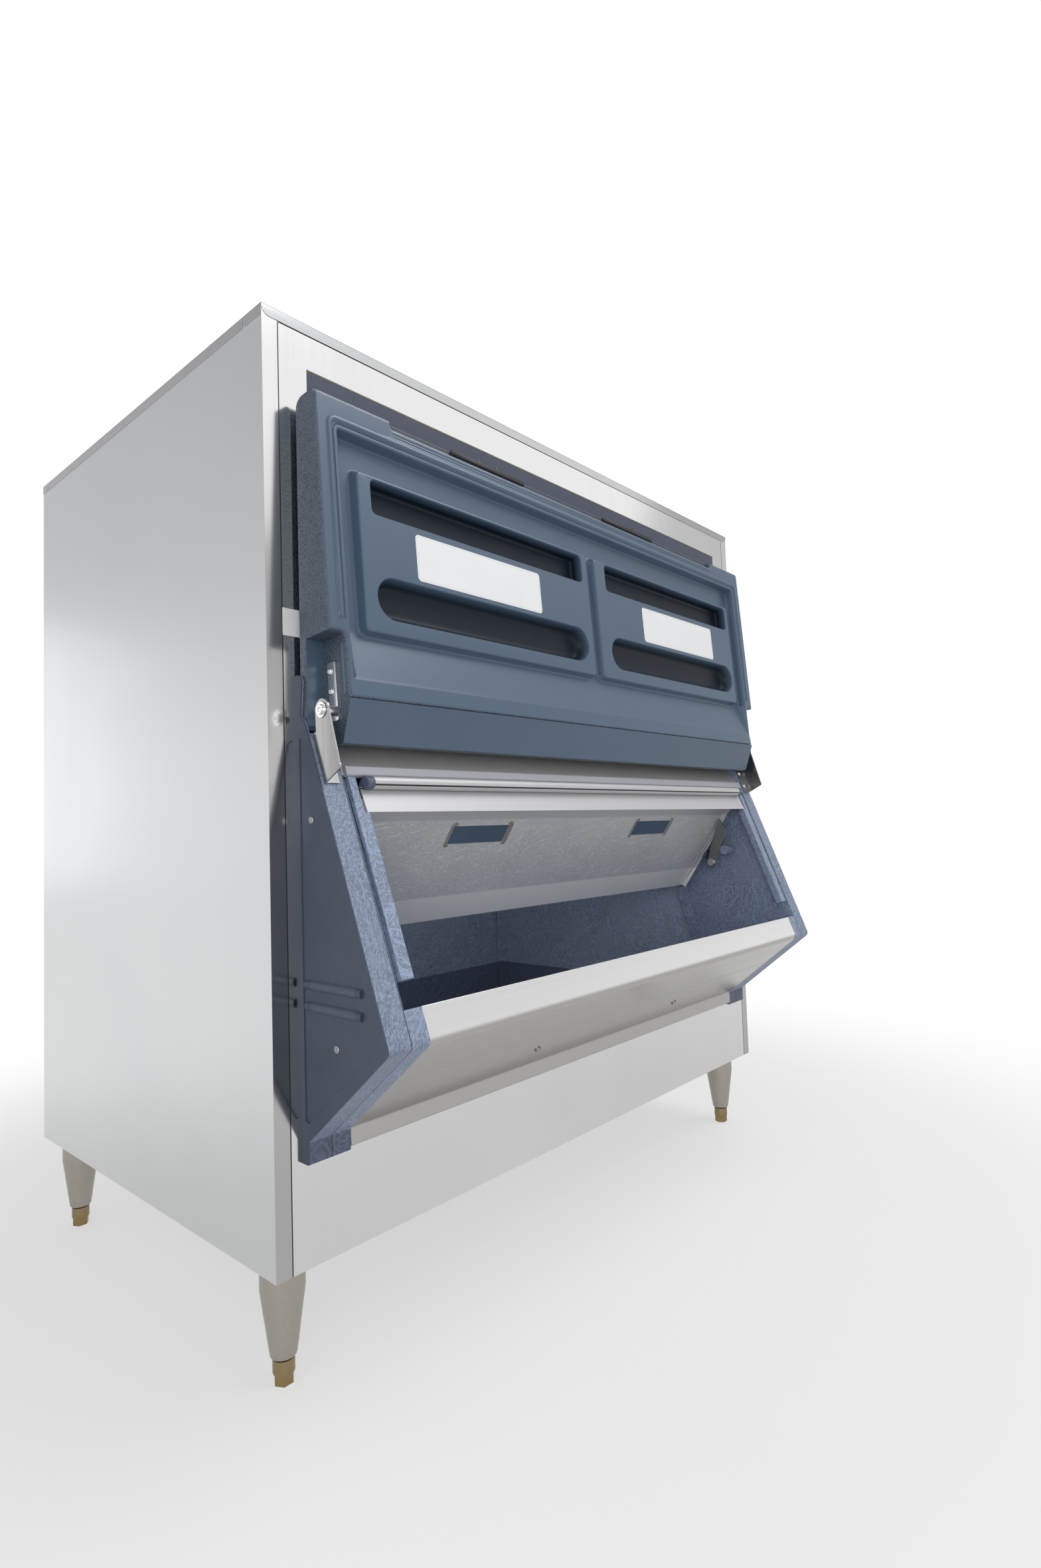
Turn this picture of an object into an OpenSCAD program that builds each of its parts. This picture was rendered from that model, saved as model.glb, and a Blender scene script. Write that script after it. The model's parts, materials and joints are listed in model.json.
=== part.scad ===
// Ice storage bin with a lift-up door, a sloping hopper mouth and a lifting ice gate.
// X runs across the bin, -Y is its front, Z is up, and the origin is on the floor
// under the middle of the whole object.

/* [Cabinet] */
// Width over the two side sheets
cab_w = 1219.2; // [1160:0.1:1400]
// Depth from the front sheet to the back sheet
cab_d = 774.4; // [700:0.1:900]
// Height from the cabinet's underside to the top of its cap
cab_h = 1205.4; // [1190:0.1:1350]
// Height of the cabinet's underside above the floor
base_z = 152.4; // [140:0.1:200]
// Thickness of the stainless cabinet sheets
skin = 1.2; // [0.8:0.1:1.6]
// Width of the strip that each side sheet folds onto the front
fold_w = 22.5; // [15:0.5:30]
// Gap at a seam between two sheets
seam = 0.6; // [0.3:0.1:1]
// Thickness of the foam between sheets and liner
foam_t = 50; // [35:1:60]
// Wall of the moulded liner
liner_t = 4; // [3:0.5:6]
// Thickness of the bottom sheet
floor_t = 2; // [1.5:0.1:3]
// Thickness of the foam under the liner's floor
floor_foam = 58; // [40:1:70]

/* [Top cap] */
// Sheet thickness of the top cap
cap_t = 0.8; // [0.8:0.1:1.5]
// Height of the cap's rim
cap_h = 14; // [10:0.5:25]
// Width of the cap beside the ice opening
cap_side = 80; // [70:1:120]
// Depth of the cap in front of and behind the ice opening
cap_ends = 84; // [70:1:120]

/* [Legs] */
// Distance of a leg's centre from the cabinet's side
leg_side = 42; // [35:1:60]
// Distance of a leg's centre from the front and back
leg_ends = 55; // [40:1:80]
// Radius of a leg at its upper end
leg_r = 28.5; // [24:0.5:32]
// Radius of a leg at its lower end
leg_tip_r = 17; // [15:0.5:20]
// Height of the leg's lower end above the floor
leg_gap = 33; // [28:0.5:40]
// Length of the straight upper part of a leg
leg_collar = 36; // [20:1:45]
// Radius of the adjustable foot
foot_r = 14; // [12:0.5:16]
// Height of the foot's hexagonal tip
foot_hex = 11; // [8:0.5:14]
// Radius of the foot's stem
stem_r = 8; // [6:0.5:10]
// Length of the stem inside the leg
stem_len = 60; // [50:1:80]

/* [Hopper] */
// Height of the hopper's lowest edge above the cabinet's underside
sill_h = 128.9; // [110:0.1:150]
// Distance from the hopper wall's outer face to the cabinet's side
hop_side = 39.6; // [36:0.1:60]
// Thickness of a hopper wall
wall_t = 35.4; // [30:0.1:45]
// Reach of the nose's sharp corner in front of the cabinet
nose_y = 171.4; // [160:0.1:185]
// Height of the nose's sharp corner above the hopper's lowest edge
nose_z = 157.2; // [150:0.1:165]
// Rounding of the nose
nose_r = 10; // [6:0.5:14]
// Lean of the mouth back from the vertical
mouth_tilt = 21.3; // [20.5:0.1:22]
// Length of the mouth from the nose to the point below the door pivot
mouth_len = 416.3; // [415:0.1:425]
// Depth of the foot block on the cabinet's face
foot_d = 12; // [8:0.5:16]
// Height of the foot block's front
foot_h = 27.7; // [20:0.1:35]
// Width of the ledge that carries the hopper floor
ledge_w = 27; // [22:0.5:32]
// Thickness of that ledge
ledge_t = 14; // [12:0.5:18]
// Steel sheet of the hopper front
steel_t = 1.5; // [1:0.1:2]
// Thickness of the hopper's plastic floor
tub_t = 4; // [3:0.5:5]
// Length of the mouth that the hopper front covers above the nose
lip_len = 44.5; // [38:0.5:50]
// Depth of the outer faces' inset
inset_d = 1.2; // [0.6:0.1:2]

/* [Door] */
// Distance of the door pivot in front of the mouth
pivot_out = 30.5; // [29:0.1:32]
// Gap between the closed door's rim and the mouth
rim_gap = 3; // [2.8:0.1:4]
// Lean of the open door
lean = 4.2; // [3.5:0.1:5]
// Length of the door above its pivot
door_len = 409; // [400:0.5:412]
// Distance of the hopper wall's outer face outside the door's side
door_in = 4; // [3.5:0.1:8]
// Distance of the open door's back from the pivot
door_back = 42; // [40:0.1:43]
// Wall of the door's two skins
shell = 3; // [2.5:0.1:3.5]
// Distance of the pocket wall from the hopper wall's outer face
pocket_x = 29; // [27:0.1:31]
// Length of the arm pockets above the pivot
pocket_u = 95; // [94:0.5:98]
// Distance of the ear's front from the pivot
ear_y = 28.5; // [27:0.5:31]
// Length of the ear below the pivot
ear_z = 22.5; // [18:0.5:24]
// Depth of the inner panel's field
field_v = 17; // [16:0.5:20]
// Upper end of the field
field_top = 365.6; // [360:0.1:368]
// Foot of the field's lower slope
slope_u0 = 35; // [30:0.5:38]
// Head of the field's lower slope and lower edge of the raised panels
slope_u1 = 104; // [102:0.5:108]
// Flare of the door's lower lip
flare_v = 2; // [1:0.1:2.4]
// Position of the lower lip above the pivot
flare_u = 12; // [10:0.5:14]
// Depth of the raised panels below the rim
panel_v = 4; // [3:0.5:6]
// Upper end of the raised panels
panel_top = 320; // [315:0.5:325]
// Distance of the raised panels' outer sides from the field's side
panel_in = 29; // [24:0.5:34]
// Half of the gap between the raised panels
panel_gap = 11; // [8:0.5:15]
// Depth of the hand recesses below the rim
recess_v = 26; // [22:0.5:30]
// Height of the seal bead above the rim
bead_h = 2.6; // [1.5:0.1:2.6]
// Width of the seal bead
bead_w = 9.5; // [8:0.1:10]
// Upper end of the bead's outline
bead_top = 382.5; // [380:0.1:385]

/* [Gate] */
// Slope of the gate from the vertical
gate_tilt = 35; // [34:0.1:36]
// Position of the gate's reference point down the mouth
gate_u = 122.3; // [121:0.1:124]
// Position of that point behind the mouth
gate_n = 61.8; // [61:0.1:63]
// Gap between the gate's edge and the ridges of the mouth
gate_side = 1.5; // [1:0.1:2.5]
// Length of the gate below the reference point
gate_low = 181.9; // [175:0.1:188]
// Length of the gate above the reference point
gate_up = 76; // [75:0.1:77]
// Sheet thickness of the gate
gate_t = 1.5; // [1:0.1:1.5]
// Radius of the rolled handle
roll_r = 8.5; // [7:0.1:8.5]
// Lift of the gate at which its second slots meet the pawls
gate_lift = 99.9; // [99:0.1:106]
// Height of the forward flanges at the gate's sides
flange_h = 8.5; // [6:0.5:9]

/* [Pawls] */
// Distance of the pawl's outer face from the hopper wall's outer face
pawl_in = 68.5; // [67:0.1:70]
// Thickness of a pawl
pawl_t = 3.5; // [3:0.1:4]
// Radius of a pawl's stud
stud_r = 5; // [4:0.1:6]
// Radius of the stop boss
boss_r = 10; // [8:0.5:10]

/* [Arms] */
// Thickness of the door arms
arm_t = 2.5; // [2:0.1:3]
// Distance of the arm's outer face from the hopper wall's outer face
arm_in = 5.5; // [5:0.1:6]
// Width of the arm's flange on the mouth
arm_flange = 19; // [16:0.5:21]
// Radius of the door's pivot pins
pin_r = 4; // [3:0.1:4.5]
// Running clearance of the pivot pins
run = 0.05; // [0.02:0.01:0.1]

/* [Hidden] */
$fn = 48;

// Colours
steel = [0.78, 0.78, 0.77];
bright = [0.86, 0.86, 0.88];
slate = [0.38, 0.45, 0.53];
speckle = [0.33, 0.38, 0.5];
plate_blue = [0.37, 0.4, 0.47];
vinyl = [0.88, 0.89, 0.92];
label_white = [0.95, 0.95, 0.96];
foam_tan = [0.9, 0.85, 0.68];

// Plane helpers, all on points [y, z]
function unit(v) = v / norm(v);
function corner(a, b, c, r, n) =
    let (o = [b[0], b[1]],
         u = unit([a[0], a[1]] - o),
         w = unit([c[0], c[1]] - o),
         h = acos(u * w) / 2,
         m = o + unit(u + w) * r / sin(h),
         p = o + u * r / tan(h) - m,
         q = o + w * r / tan(h) - m,
         s = atan2(p[1], p[0]),
         e = (atan2(q[1], q[0]) - s + 540) % 360 - 180)
    [for (i = [0:n]) m + r * [cos(s + e * i / n), sin(s + e * i / n)]];
// Outline of points [y, z, radius] with each corner rounded
function rounded(p, n = 5) =
    [for (i = [0:len(p) - 1])
        each (p[i][2] > 0
            ? corner(p[(i + len(p) - 1) % len(p)], p[i], p[(i + 1) % len(p)], p[i][2], n)
            : [[p[i][0], p[i][1]]])];
function arc(c, r, a0, a1, n = 12) =
    [for (i = [0:n]) c + r * [cos(a0 + (a1 - a0) * i / n), sin(a0 + (a1 - a0) * i / n)]];
function at(p, r) = [p[0], p[1], r];

// Datums
hw = cab_w / 2;
top_z = base_z + cab_h;
sill_z = base_z + sill_h;
mouth_up = [sin(mouth_tilt), cos(mouth_tilt)];
mouth_out = [-cos(mouth_tilt), sin(mouth_tilt)];
nose = [-nose_y, sill_z + nose_z];
foot_top = [-foot_d, sill_z + foot_h];
// Point on the mouth u below the pivot and n in front of the mouth
function mo(u, n) = nose + (mouth_len - u) * mouth_up + n * mouth_out;
pivot = mo(0, pivot_out);
// Underside of the hopper: its slope, and its points at t inside the outer face
under = unit(foot_top - nose);
under_k = under[1] / under[0];
function low(t, y) = [y, foot_top[1] + (y + foot_d) * under_k + t / under[0]];
nose_half = acos(mouth_up * under) / 2;
nose_in = unit(mouth_up + under);
function bend(t) = nose + nose_in * t / sin(nose_half);
reach = nose_r - bend(nose_r)[0];
fy = -(cab_d - reach) / 2;

// Widths across the bin, from the middle
wall_x = hw - hop_side;
wall_in = wall_x - wall_t;
ledge_x = wall_in - ledge_w;
cheek_t = 5.4;
fit = 0.3;
// Slack that keeps two sloping faces that touch from sharing space
hair = 0.02;
ridge_x = wall_in - 7.6;
ridge_in = wall_in - 19.1;
gate_x = ridge_in - gate_side;
strip_x = gate_x - 3;
cap_x = ledge_x;
roll_x = cap_x - 11.6;

// Height of the throat through the cabinet's front
throat_z = mo(85, 0)[1] - 5;
plate_x = wall_x - 26.4;
plate_top = top_z - 61.8;
front_x = hw - fold_w - seam;

module front() translate([0, fy, 0]) children();
module slab(x0, x1, p) translate([x0, 0, 0]) rotate([90, 0, 90]) linear_extrude(x1 - x0) polygon(p);
module span(x, p) slab(-x, x, p);
module box(a, b) translate(a) cube(b - a);
module pair() {
    children();
    mirror([1, 0, 0]) children();
}
// Round bar along X through the point p = [y, z]
module rod(x0, x1, p, r) translate([x0, p[0], p[1]]) rotate([0, 90, 0]) cylinder(r = r, h = x1 - x0);

// Cabinet
cap_z = top_z - cap_t;
rim_z = top_z - cap_h;
module side_panel() {
    slab(hw - skin, hw, [[0, base_z], [cab_d, base_z], [cab_d, rim_z], [cab_d - cap_t, rim_z],
                         [cab_d - cap_t, cap_z], [0, cap_z]]);
    box([hw - fold_w, 0, base_z], [hw, skin, cap_z]);
    box([hw - fold_w, cab_d - skin, base_z], [hw, cab_d, rim_z]);
}
module side_panel_left() color(steel) front() mirror([1, 0, 0]) side_panel();
module side_panel_right() color(steel) front() side_panel();
module back_panel() color(steel) front()
    box([-front_x, cab_d - skin, base_z], [front_x, cab_d, rim_z]);
drain_y = cab_d - 130;
drain_r = 21;
drain_bore = 17;
module bottom_panel() color(steel) front() difference() {
    box([skin - hw, skin, base_z], [hw - skin, cab_d - skin, base_z + floor_t]);
    translate([0, drain_y, base_z - 1]) cylinder(r = drain_r, h = floor_t + 2);
}
module front_panel() color(steel) front() difference() {
    box([-front_x, 0, base_z], [front_x, skin, cap_z]);
    box([-plate_x - seam, -1, throat_z], [plate_x + seam, skin + 1, plate_top + seam]);
    box([-wall_in - cheek_t, -1, sill_z + foot_h], [wall_in + cheek_t, skin + 1, throat_z + 1]);
}
plate_t = 3;
module front_plate() color(plate_blue) front()
    box([-plate_x, skin, throat_z], [plate_x, skin + plate_t, plate_top]);
module top_cap() color(steel) front() difference() {
    box([-hw - cap_t, -cap_t, rim_z], [hw + cap_t, cab_d, top_z]);
    box([-hw, 0, rim_z - 1], [hw, cab_d - cap_t, cap_z]);
    box([cap_side - hw, cap_ends, cap_z - 1], [hw - cap_side, cab_d - cap_ends, top_z + 1]);
}
lin_x = hw - skin - foam_t;
lin_y0 = skin + foam_t;
lin_y1 = cab_d - skin - foam_t;
lin_z = base_z + floor_t + floor_foam;
// Cut through the cabinet's front for the hopper, along the hopper floor's underside
throat = [low(ledge_t - hair, -2), low(ledge_t - hair, lin_y0 + liner_t + 2),
          [lin_y0 + liner_t + 2, throat_z], [-2, throat_z]];
module liner() color(speckle) front() difference() {
    box([-lin_x, lin_y0, lin_z], [lin_x, lin_y1, cap_z]);
    box([liner_t - lin_x, lin_y0 + liner_t, lin_z + liner_t],
        [lin_x - liner_t, lin_y1 - liner_t, cap_z + 1]);
    span(wall_in + cheek_t, throat);
    translate([0, drain_y, lin_z - 1]) cylinder(r = drain_r, h = liner_t + 2);
}
module insulation() color(foam_tan) front() difference() {
    box([skin - hw, skin, base_z + floor_t], [hw - skin, cab_d - skin, cap_z]);
    box([-lin_x, lin_y0, lin_z], [lin_x, lin_y1, cap_z + 1]);
    box([-hw, cab_d - skin - cap_t, rim_z - 0.01], [hw, cab_d, cap_z + 1]);
    span(wall_in + cheek_t, throat);
    box([-plate_x, skin - 1, throat_z], [plate_x, skin + plate_t, plate_top]);
    translate([0, drain_y, base_z]) cylinder(r = drain_r, h = 200);
}
drain_drop = 35;
drain_top = lin_z + liner_t;
module drain_fitting() color("gainsboro") front() translate([0, drain_y, 0]) difference() {
    union() {
        translate([0, 0, base_z - drain_drop]) cylinder(r = drain_r, h = drain_top - base_z + drain_drop);
        translate([0, 0, drain_top]) cylinder(r = drain_r + 14, h = 2);
    }
    translate([0, 0, base_z - drain_drop - 1])
        cylinder(r = drain_bore, h = drain_top - base_z + drain_drop + 4);
}
plate_label_w = 30;
plate_label_h = 35;
module rating_plate() color(label_white) front()
    box([-front_x, -0.2, sill_z + 655], [plate_label_w - front_x, 0, sill_z + 655 + plate_label_h]);

// Legs and feet, drawn for the front right corner
leg_x = hw - leg_side;
hole_r = stem_r + 0.1;
module leg() translate([leg_x, leg_ends, 0]) difference() {
    union() {
        translate([0, 0, base_z - leg_collar]) cylinder(r = leg_r, h = leg_collar);
        translate([0, 0, leg_gap + 2])
            cylinder(r1 = leg_tip_r, r2 = leg_r, h = base_z - leg_collar - leg_gap - 2);
        translate([0, 0, leg_gap]) cylinder(r1 = leg_tip_r - 1.5, r2 = leg_tip_r, h = 2);
    }
    translate([0, 0, leg_gap - 1]) cylinder(r = hole_r, h = stem_len + 4);
}
module foot() translate([leg_x, leg_ends, 0]) {
    cylinder(r = foot_r - 1, h = foot_hex, $fn = 6);
    translate([0, 0, foot_hex]) cylinder(r1 = foot_r - 1.5, r2 = foot_r, h = 3);
    translate([0, 0, foot_hex + 3]) cylinder(r = foot_r, h = leg_gap - foot_hex - 5);
    translate([0, 0, foot_hex]) cylinder(r = stem_r, h = leg_gap - foot_hex + stem_len);
}
module left_end() mirror([1, 0, 0]) children();
module rear_end() translate([0, cab_d, 0]) mirror([0, 1, 0]) children();
module leg_front_left() color(steel) front() left_end() leg();
module leg_front_right() color(steel) front() leg();
module leg_rear_left() color(steel) front() rear_end() left_end() leg();
module leg_rear_right() color(steel) front() rear_end() leg();
module foot_front_left() color(bright) front() left_end() foot();
module foot_front_right() color(bright) front() foot();
module foot_rear_left() color(bright) front() rear_end() left_end() foot();
module foot_rear_right() color(bright) front() rear_end() foot();

// Hopper walls
wall_top = mo(16, 0);
wall_side = rounded([[0, sill_z, 0], [-foot_d, sill_z, 1.5], at(foot_top, 4), at(nose, nose_r),
                     at(wall_top, 6), [0, wall_top[1], 0]]);
// Thin flange of the wall behind the door's ear
flange_top = pivot[1] + 48;
wall_flange = [[0, wall_top[1] - 20], mo(34, -1), mo(6, -1), mo(-3, -3), mo(-10, -7),
               [-14.6, flange_top - 8], [-9.1, flange_top], [0, flange_top]];
ledge_side = rounded([[0, sill_z, 0], [-foot_d, sill_z, 1.5], at(foot_top, 4), at(nose, nose_r),
                      at(mo(mouth_len - lip_len, 0), 3), at(mo(mouth_len - lip_len, -ledge_t), 0),
                      at(bend(ledge_t), 2), at(low(ledge_t, 0), 0)]);
tub_y = lin_y0 + liner_t;
cheek = [low(ledge_t, -1), low(ledge_t, tub_y), [tub_y, low(ledge_t, tub_y)[1] + 60],
         [tub_y + 67, sill_z + 230], [tub_y + 67, sill_z + 350], [20, throat_z], [-1, throat_z]];
ridge_end = mouth_len - 78.3;
strip_u = 124.7;
bar_u1 = 75.4;
// Line parallel to the mouth from u0 to u1, between depths n0 and n1
function bar(u0, u1, n0, n1) = [mo(u0, n0), mo(u1, n0), mo(u1, n1), mo(u0, n1)];
inset_side = rounded([at(low(16, -7), 6), at(bend(16), 8), at(mo(24, -9), 3), [-7, wall_top[1] - 5, 3]]);
rib_z = [sill_z + 193, sill_z + 219];
swing = door_back + 3;
module wall() {
    difference() {
        union() {
            slab(wall_in, wall_x, wall_side);
            slab(ledge_x, wall_in + 1, ledge_side);
            slab(wall_x - arm_in + 2, wall_x, wall_flange);
            slab(wall_in, wall_in + cheek_t, cheek);
        }
        slab(wall_x - inset_d, wall_x + 1, inset_side);
        rod(wall_in - 1, wall_x - pocket_x + 0.5, pivot, swing);
        for (s = wall_marks) rod(wall_x - 12, wall_x + 1, s, 2.5);
        for (u = arm_marks) mouth_hole(u, wall_x - arm_in - arm_t - 9.5, 2.5, 12);
        rod(wall_in - 1, wall_in + cheek_t + 1, stud_at, stud_r);
    }
    slab(ledge_x, ridge_x, bar(strip_u + fit, ridge_end, -12, 0.5));
    slab(ridge_in, ridge_x, bar(bar_u1 + fit, strip_u + fit + 1, -12, 0.5));
    slab(ridge_x, wall_in + 1, bar(bar_u1 + fit, ridge_end, -18, -8));
    slab(wall_in - 8, wall_in + 1, bar(332, 343, -30, -21));
    for (z = rib_z) intersection() {
        translate([wall_x - inset_d - 2, -12, z]) rotate([90, 0, 0]) cylinder(r = 6, h = 112);
        box([wall_x - inset_d - 1, -200, z - 10], [wall_x + 10, 0, z + 10]);
    }
    rod(ridge_x - 29, wall_in + 1, boss_at, boss_r);
}
// Round hole square to the mouth at u below the pivot
module mouth_hole(u, x, r, deep)
    translate([x, mo(u, 0)[0], mo(u, 0)[1]]) rotate([-mouth_tilt, 0, 0]) rotate([90, 0, 0])
        translate([0, 0, -deep]) cylinder(r = r, h = deep + 1);
wall_marks = [[-73, sill_z + 149], [-29, sill_z + 421]];
arm_marks = [40, 70];
module wall_left() color(speckle) front() mirror([1, 0, 0]) wall();
module wall_right() color(speckle) front() wall();
module wall_screws() color(bright) front() pair() for (s = wall_marks) {
    rod(wall_x - 12, wall_x - inset_d, s, 2.5);
    rod(wall_x - inset_d, wall_x - inset_d + 2, s, 5);
}

// Hopper front, floor and foam
lip_u = mouth_len - lip_len;
front_w = ledge_x - fit;
sheet_out = rounded([[-0.6, sill_z + 4, 0], [-foot_d - 1, sill_z + 4, 3], at(foot_top, 4),
                     at(nose, nose_r + 2), at(mo(lip_u, 0), 1), at(mo(lip_u, -9), 0),
                     at(mo(lip_u + steel_t, -9), 0), at(mo(lip_u + steel_t, -steel_t), 1),
                     at(bend(steel_t), nose_r + 1), at(low(steel_t, -foot_d), 3),
                     [-foot_d, sill_z + 4 + steel_t, 2], [-0.6, sill_z + 4 + steel_t, 0]]);
screw_y = -57;
screw_x = [-191, 204];
module sloped(x, y) translate([x, low(0, y)[0], low(0, y)[1]]) rotate([atan(under_k), 0, 0]) children();
module hopper_front() color(steel) front() difference() {
    span(front_w, sheet_out);
    for (x = screw_x) sloped(x, screw_y) translate([0, 0, -1]) cylinder(r = 2.5, h = 4);
}
module hopper_screws() color(bright) front() for (x = screw_x) sloped(x, screw_y) {
    translate([0, 0, -2.2]) difference() {
        cylinder(r = 5.5, h = 2.2);
        translate([-6, -0.6, -1]) cube([12, 1.2, 2]);
    }
    cylinder(r = 2.5, h = 9);
}
foam_side = [low(steel_t, -foot_d - 4), bend(steel_t + 3), mo(lip_u + steel_t, -steel_t - 3),
             mo(lip_u + steel_t, -9), mo(lip_u + 6, -9), mo(lip_u + 6, -ledge_t + hair),
             mo(mouth_len - 20, -ledge_t + hair), bend(ledge_t - hair), low(ledge_t - hair, -foot_d - 4)];
module hopper_foam() color(foam_tan) front() difference() {
    span(front_w, foam_side);
    for (x = screw_x) sloped(x, screw_y) cylinder(r = 2.5, h = 9);
}
tub_side = rounded([at(low(ledge_t, tub_y), 0), at(bend(ledge_t), 4), at(mo(lip_u, -ledge_t), 0),
                    at(mo(lip_u, -ledge_t - tub_t), 0), at(bend(ledge_t + tub_t), 20),
                    at(low(ledge_t + tub_t, tub_y), 0)]);
module hopper_liner() color(speckle) front() {
    span(wall_in, tub_side);
    span(front_w, [mo(lip_u, -9), mo(lip_u + 6, -9), mo(lip_u + 6, -ledge_t), mo(lip_u, -ledge_t)]);
}

// Sheet above the mouth and the edge bar on its lip
head_x = wall_in - fit;
head_y = -9;
head_z = mo(22, 0)[1];
module header_sheet() color(steel) front() span(head_x, [
    mo(73, -2), mo(60.5, -2), [head_y + 0.3, head_z + 1.2], [-1.2, head_z + 8.4],
    [-1.2, head_z + 41], [skin, head_z + 41], [skin, head_z - 2], [-0.6, head_z - 2],
    [-1.2, head_z + 5.4], [head_y + 2, head_z - 1], mo(62, -4), mo(62.6, -3.5), mo(73, -3.5)]);
bar_u0 = 60.5;
bar_x = wall_in - 5;
module edge_bar() color(vinyl) front() difference() {
    span(bar_x, rounded([at(mo(bar_u0, -5.5), 2), at(mo(bar_u0, 3.5), 3), at(mo(bar_u1, 3.5), 3),
                         at(mo(bar_u1, -5.5), 2)]));
    span(bar_x + 1, [mo(bar_u0 - 1, -1.9), mo(73.2, -1.9), mo(73.2, -3.6), mo(62.7, -3.6),
                     mo(60, -6), mo(bar_u0 - 3, -6)]);
}

// Gate, its panes and end caps, with points g up the slope and h in front of its face
gate_0 = mo(gate_u, -gate_n);
gate_dir = [-sin(gate_tilt), cos(gate_tilt)];
gate_out = [-cos(gate_tilt), -sin(gate_tilt)];
function gp(g, h) = gate_0 + g * gate_dir + h * gate_out;
function gbar(g0, g1, h0, h1) = [gp(g0, h0), gp(g1, h0), gp(g1, h1), gp(g0, h1)];
roll_at = gp(gate_up, roll_r - gate_t);
neck = 50;
// Slots for the pawls, as middle and length up the slope
pawl_slot = -5.9;
slots = [[-43, 14.1], [pawl_slot - gate_lift, 15.6], [pawl_slot, 15.6]];
slot_w = 5.2;
strip_side = [mo(89, -1.6), mo(strip_u, 1), mo(strip_u, 1 - gate_t), mo(89, -1.6 - gate_t)];
win_x0 = 181.3;
win_x1 = 305.3;
win_g0 = -33;
win_g1 = 0;
pawl_x1 = wall_x - pawl_in;
pawl_x0 = pawl_x1 - pawl_t;
module gate() color(steel) front() difference() {
    union() {
        span(gate_x, gbar(-gate_low, neck, -gate_t, 0));
        span(roll_x, gbar(neck - 1, gate_up, -gate_t, 0));
        pair() slab(gate_x - gate_t, gate_x, gbar(-gate_low, neck - 5, -gate_t, flange_h));
        rod(-roll_x, roll_x, roll_at, roll_r);
        span(strip_x, strip_side);
        span(gate_x - 14, gbar(-gate_low, 10 - gate_low, -2 * gate_t, 0));
    }
    rod(-roll_x - 1, roll_x + 1, roll_at, roll_r - gate_t);
    pair() {
        slab(win_x0, win_x1, gbar(win_g0, win_g1, -gate_t - 1, 1));
        for (s = slots) slab(pawl_x0 - (slot_w - pawl_t) / 2, pawl_x1 + (slot_w - pawl_t) / 2,
                             gbar(s[0] - s[1] / 2, s[0] + s[1] / 2, -gate_t - 1, 1));
    }
}
pane_t = 1.2;
module gate_panes() color([0.25, 0.35, 0.45]) front() pair()
    slab(win_x0 - 6, win_x1 + 6, gbar(win_g0 - 6, win_g1 + 6, -gate_t - pane_t, -gate_t));
module gate_end_caps() color(speckle) front() pair() difference() {
    union() {
        rod(roll_x, cap_x, roll_at, roll_r - 0.3);
        rod(roll_x - 6, roll_x, roll_at, roll_r - gate_t - run);
        slab(roll_x, cap_x, gbar(neck, gate_up, -gate_t, 5));
    }
    span(strip_x, strip_side);
}

// Guides that the gate slides on
guide_x0 = gate_x - 9;
lug_g = -89;
module guide() {
    slab(guide_x0, wall_in, gbar(-gate_low - 6, 42, -gate_t - fit - 5, -gate_t - fit));
    slab(wall_in - 3, wall_in, gbar(lug_g - 7, lug_g + 7, -gate_t - fit - 2, flange_h + 7));
    slab(gate_x - 6, wall_in, gbar(lug_g - 7, lug_g + 7, flange_h + fit, flange_h + 7));
}
module guide_left() color(speckle) front() mirror([1, 0, 0]) guide();
module guide_right() color(speckle) front() guide();

// Pawls that hold the gate, each on a stud and against a boss
stud_at = gp(-89.2, 39.1);
boss_at = gp(-48.7, 50);
pawl_side = rounded([at(gp(2.3, 2.4), 1.2), at(gp(-8.1, 28.9), 3), at(gp(-86.5, 48.7), 0),
                     at(gp(-99, 52), 9), at(gp(-104.4, 33), 9), at(gp(-91.9, 29.5), 0),
                     at(gp(-27, 9.2), 3)]);
module pawl() difference() {
    slab(pawl_x0, pawl_x1, pawl_side);
    rod(pawl_x0 - 1, pawl_x1 + 1, stud_at, stud_r + run);
}
module pawl_left() color([0.45, 0.45, 0.43]) front() mirror([1, 0, 0]) pawl();
module pawl_right() color([0.45, 0.45, 0.43]) front() pawl();
module pawl_studs() color(bright) front() pair() {
    rod(pawl_x0 - fit, wall_in + cheek_t, stud_at, stud_r);
    rod(pawl_x0 - 4, pawl_x0 - fit, stud_at, stud_r + 3);
    rod(pawl_x1 + fit, wall_in, stud_at, stud_r + 2);
}

// Door arms on the hopper walls
arm_x1 = wall_x - arm_in;
arm_x0 = arm_x1 - arm_t;
bush_r = pin_r + 2.5;
arm_side = concat(arc(pivot, 14, 5, 185, 12),
    rounded([at(pivot + [-39.5, -72.5], 5), at(mo(86, 0), 2), at(mo(23, 0), 0),
             at(pivot + [15.5, -24.5], 3)]));
module arm() difference() {
    union() {
        slab(arm_x0, arm_x1, arm_side);
        slab(arm_x0 - arm_flange, arm_x1, bar(23, 86, 0, arm_t));
    }
    rod(arm_x0 - 1, arm_x1 + 1, pivot, bush_r);
    for (u = arm_marks) mouth_hole_out(u, arm_x0 - 9.5, 2.5);
}
module mouth_hole_out(u, x, r)
    translate([x, mo(u, 0)[0], mo(u, 0)[1]]) rotate([-mouth_tilt, 0, 0]) rotate([90, 0, 0])
        translate([0, 0, -1]) cylinder(r = r, h = 20);
module arm_left() color(bright) front() mirror([1, 0, 0]) arm();
module arm_right() color(bright) front() arm();
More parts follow.
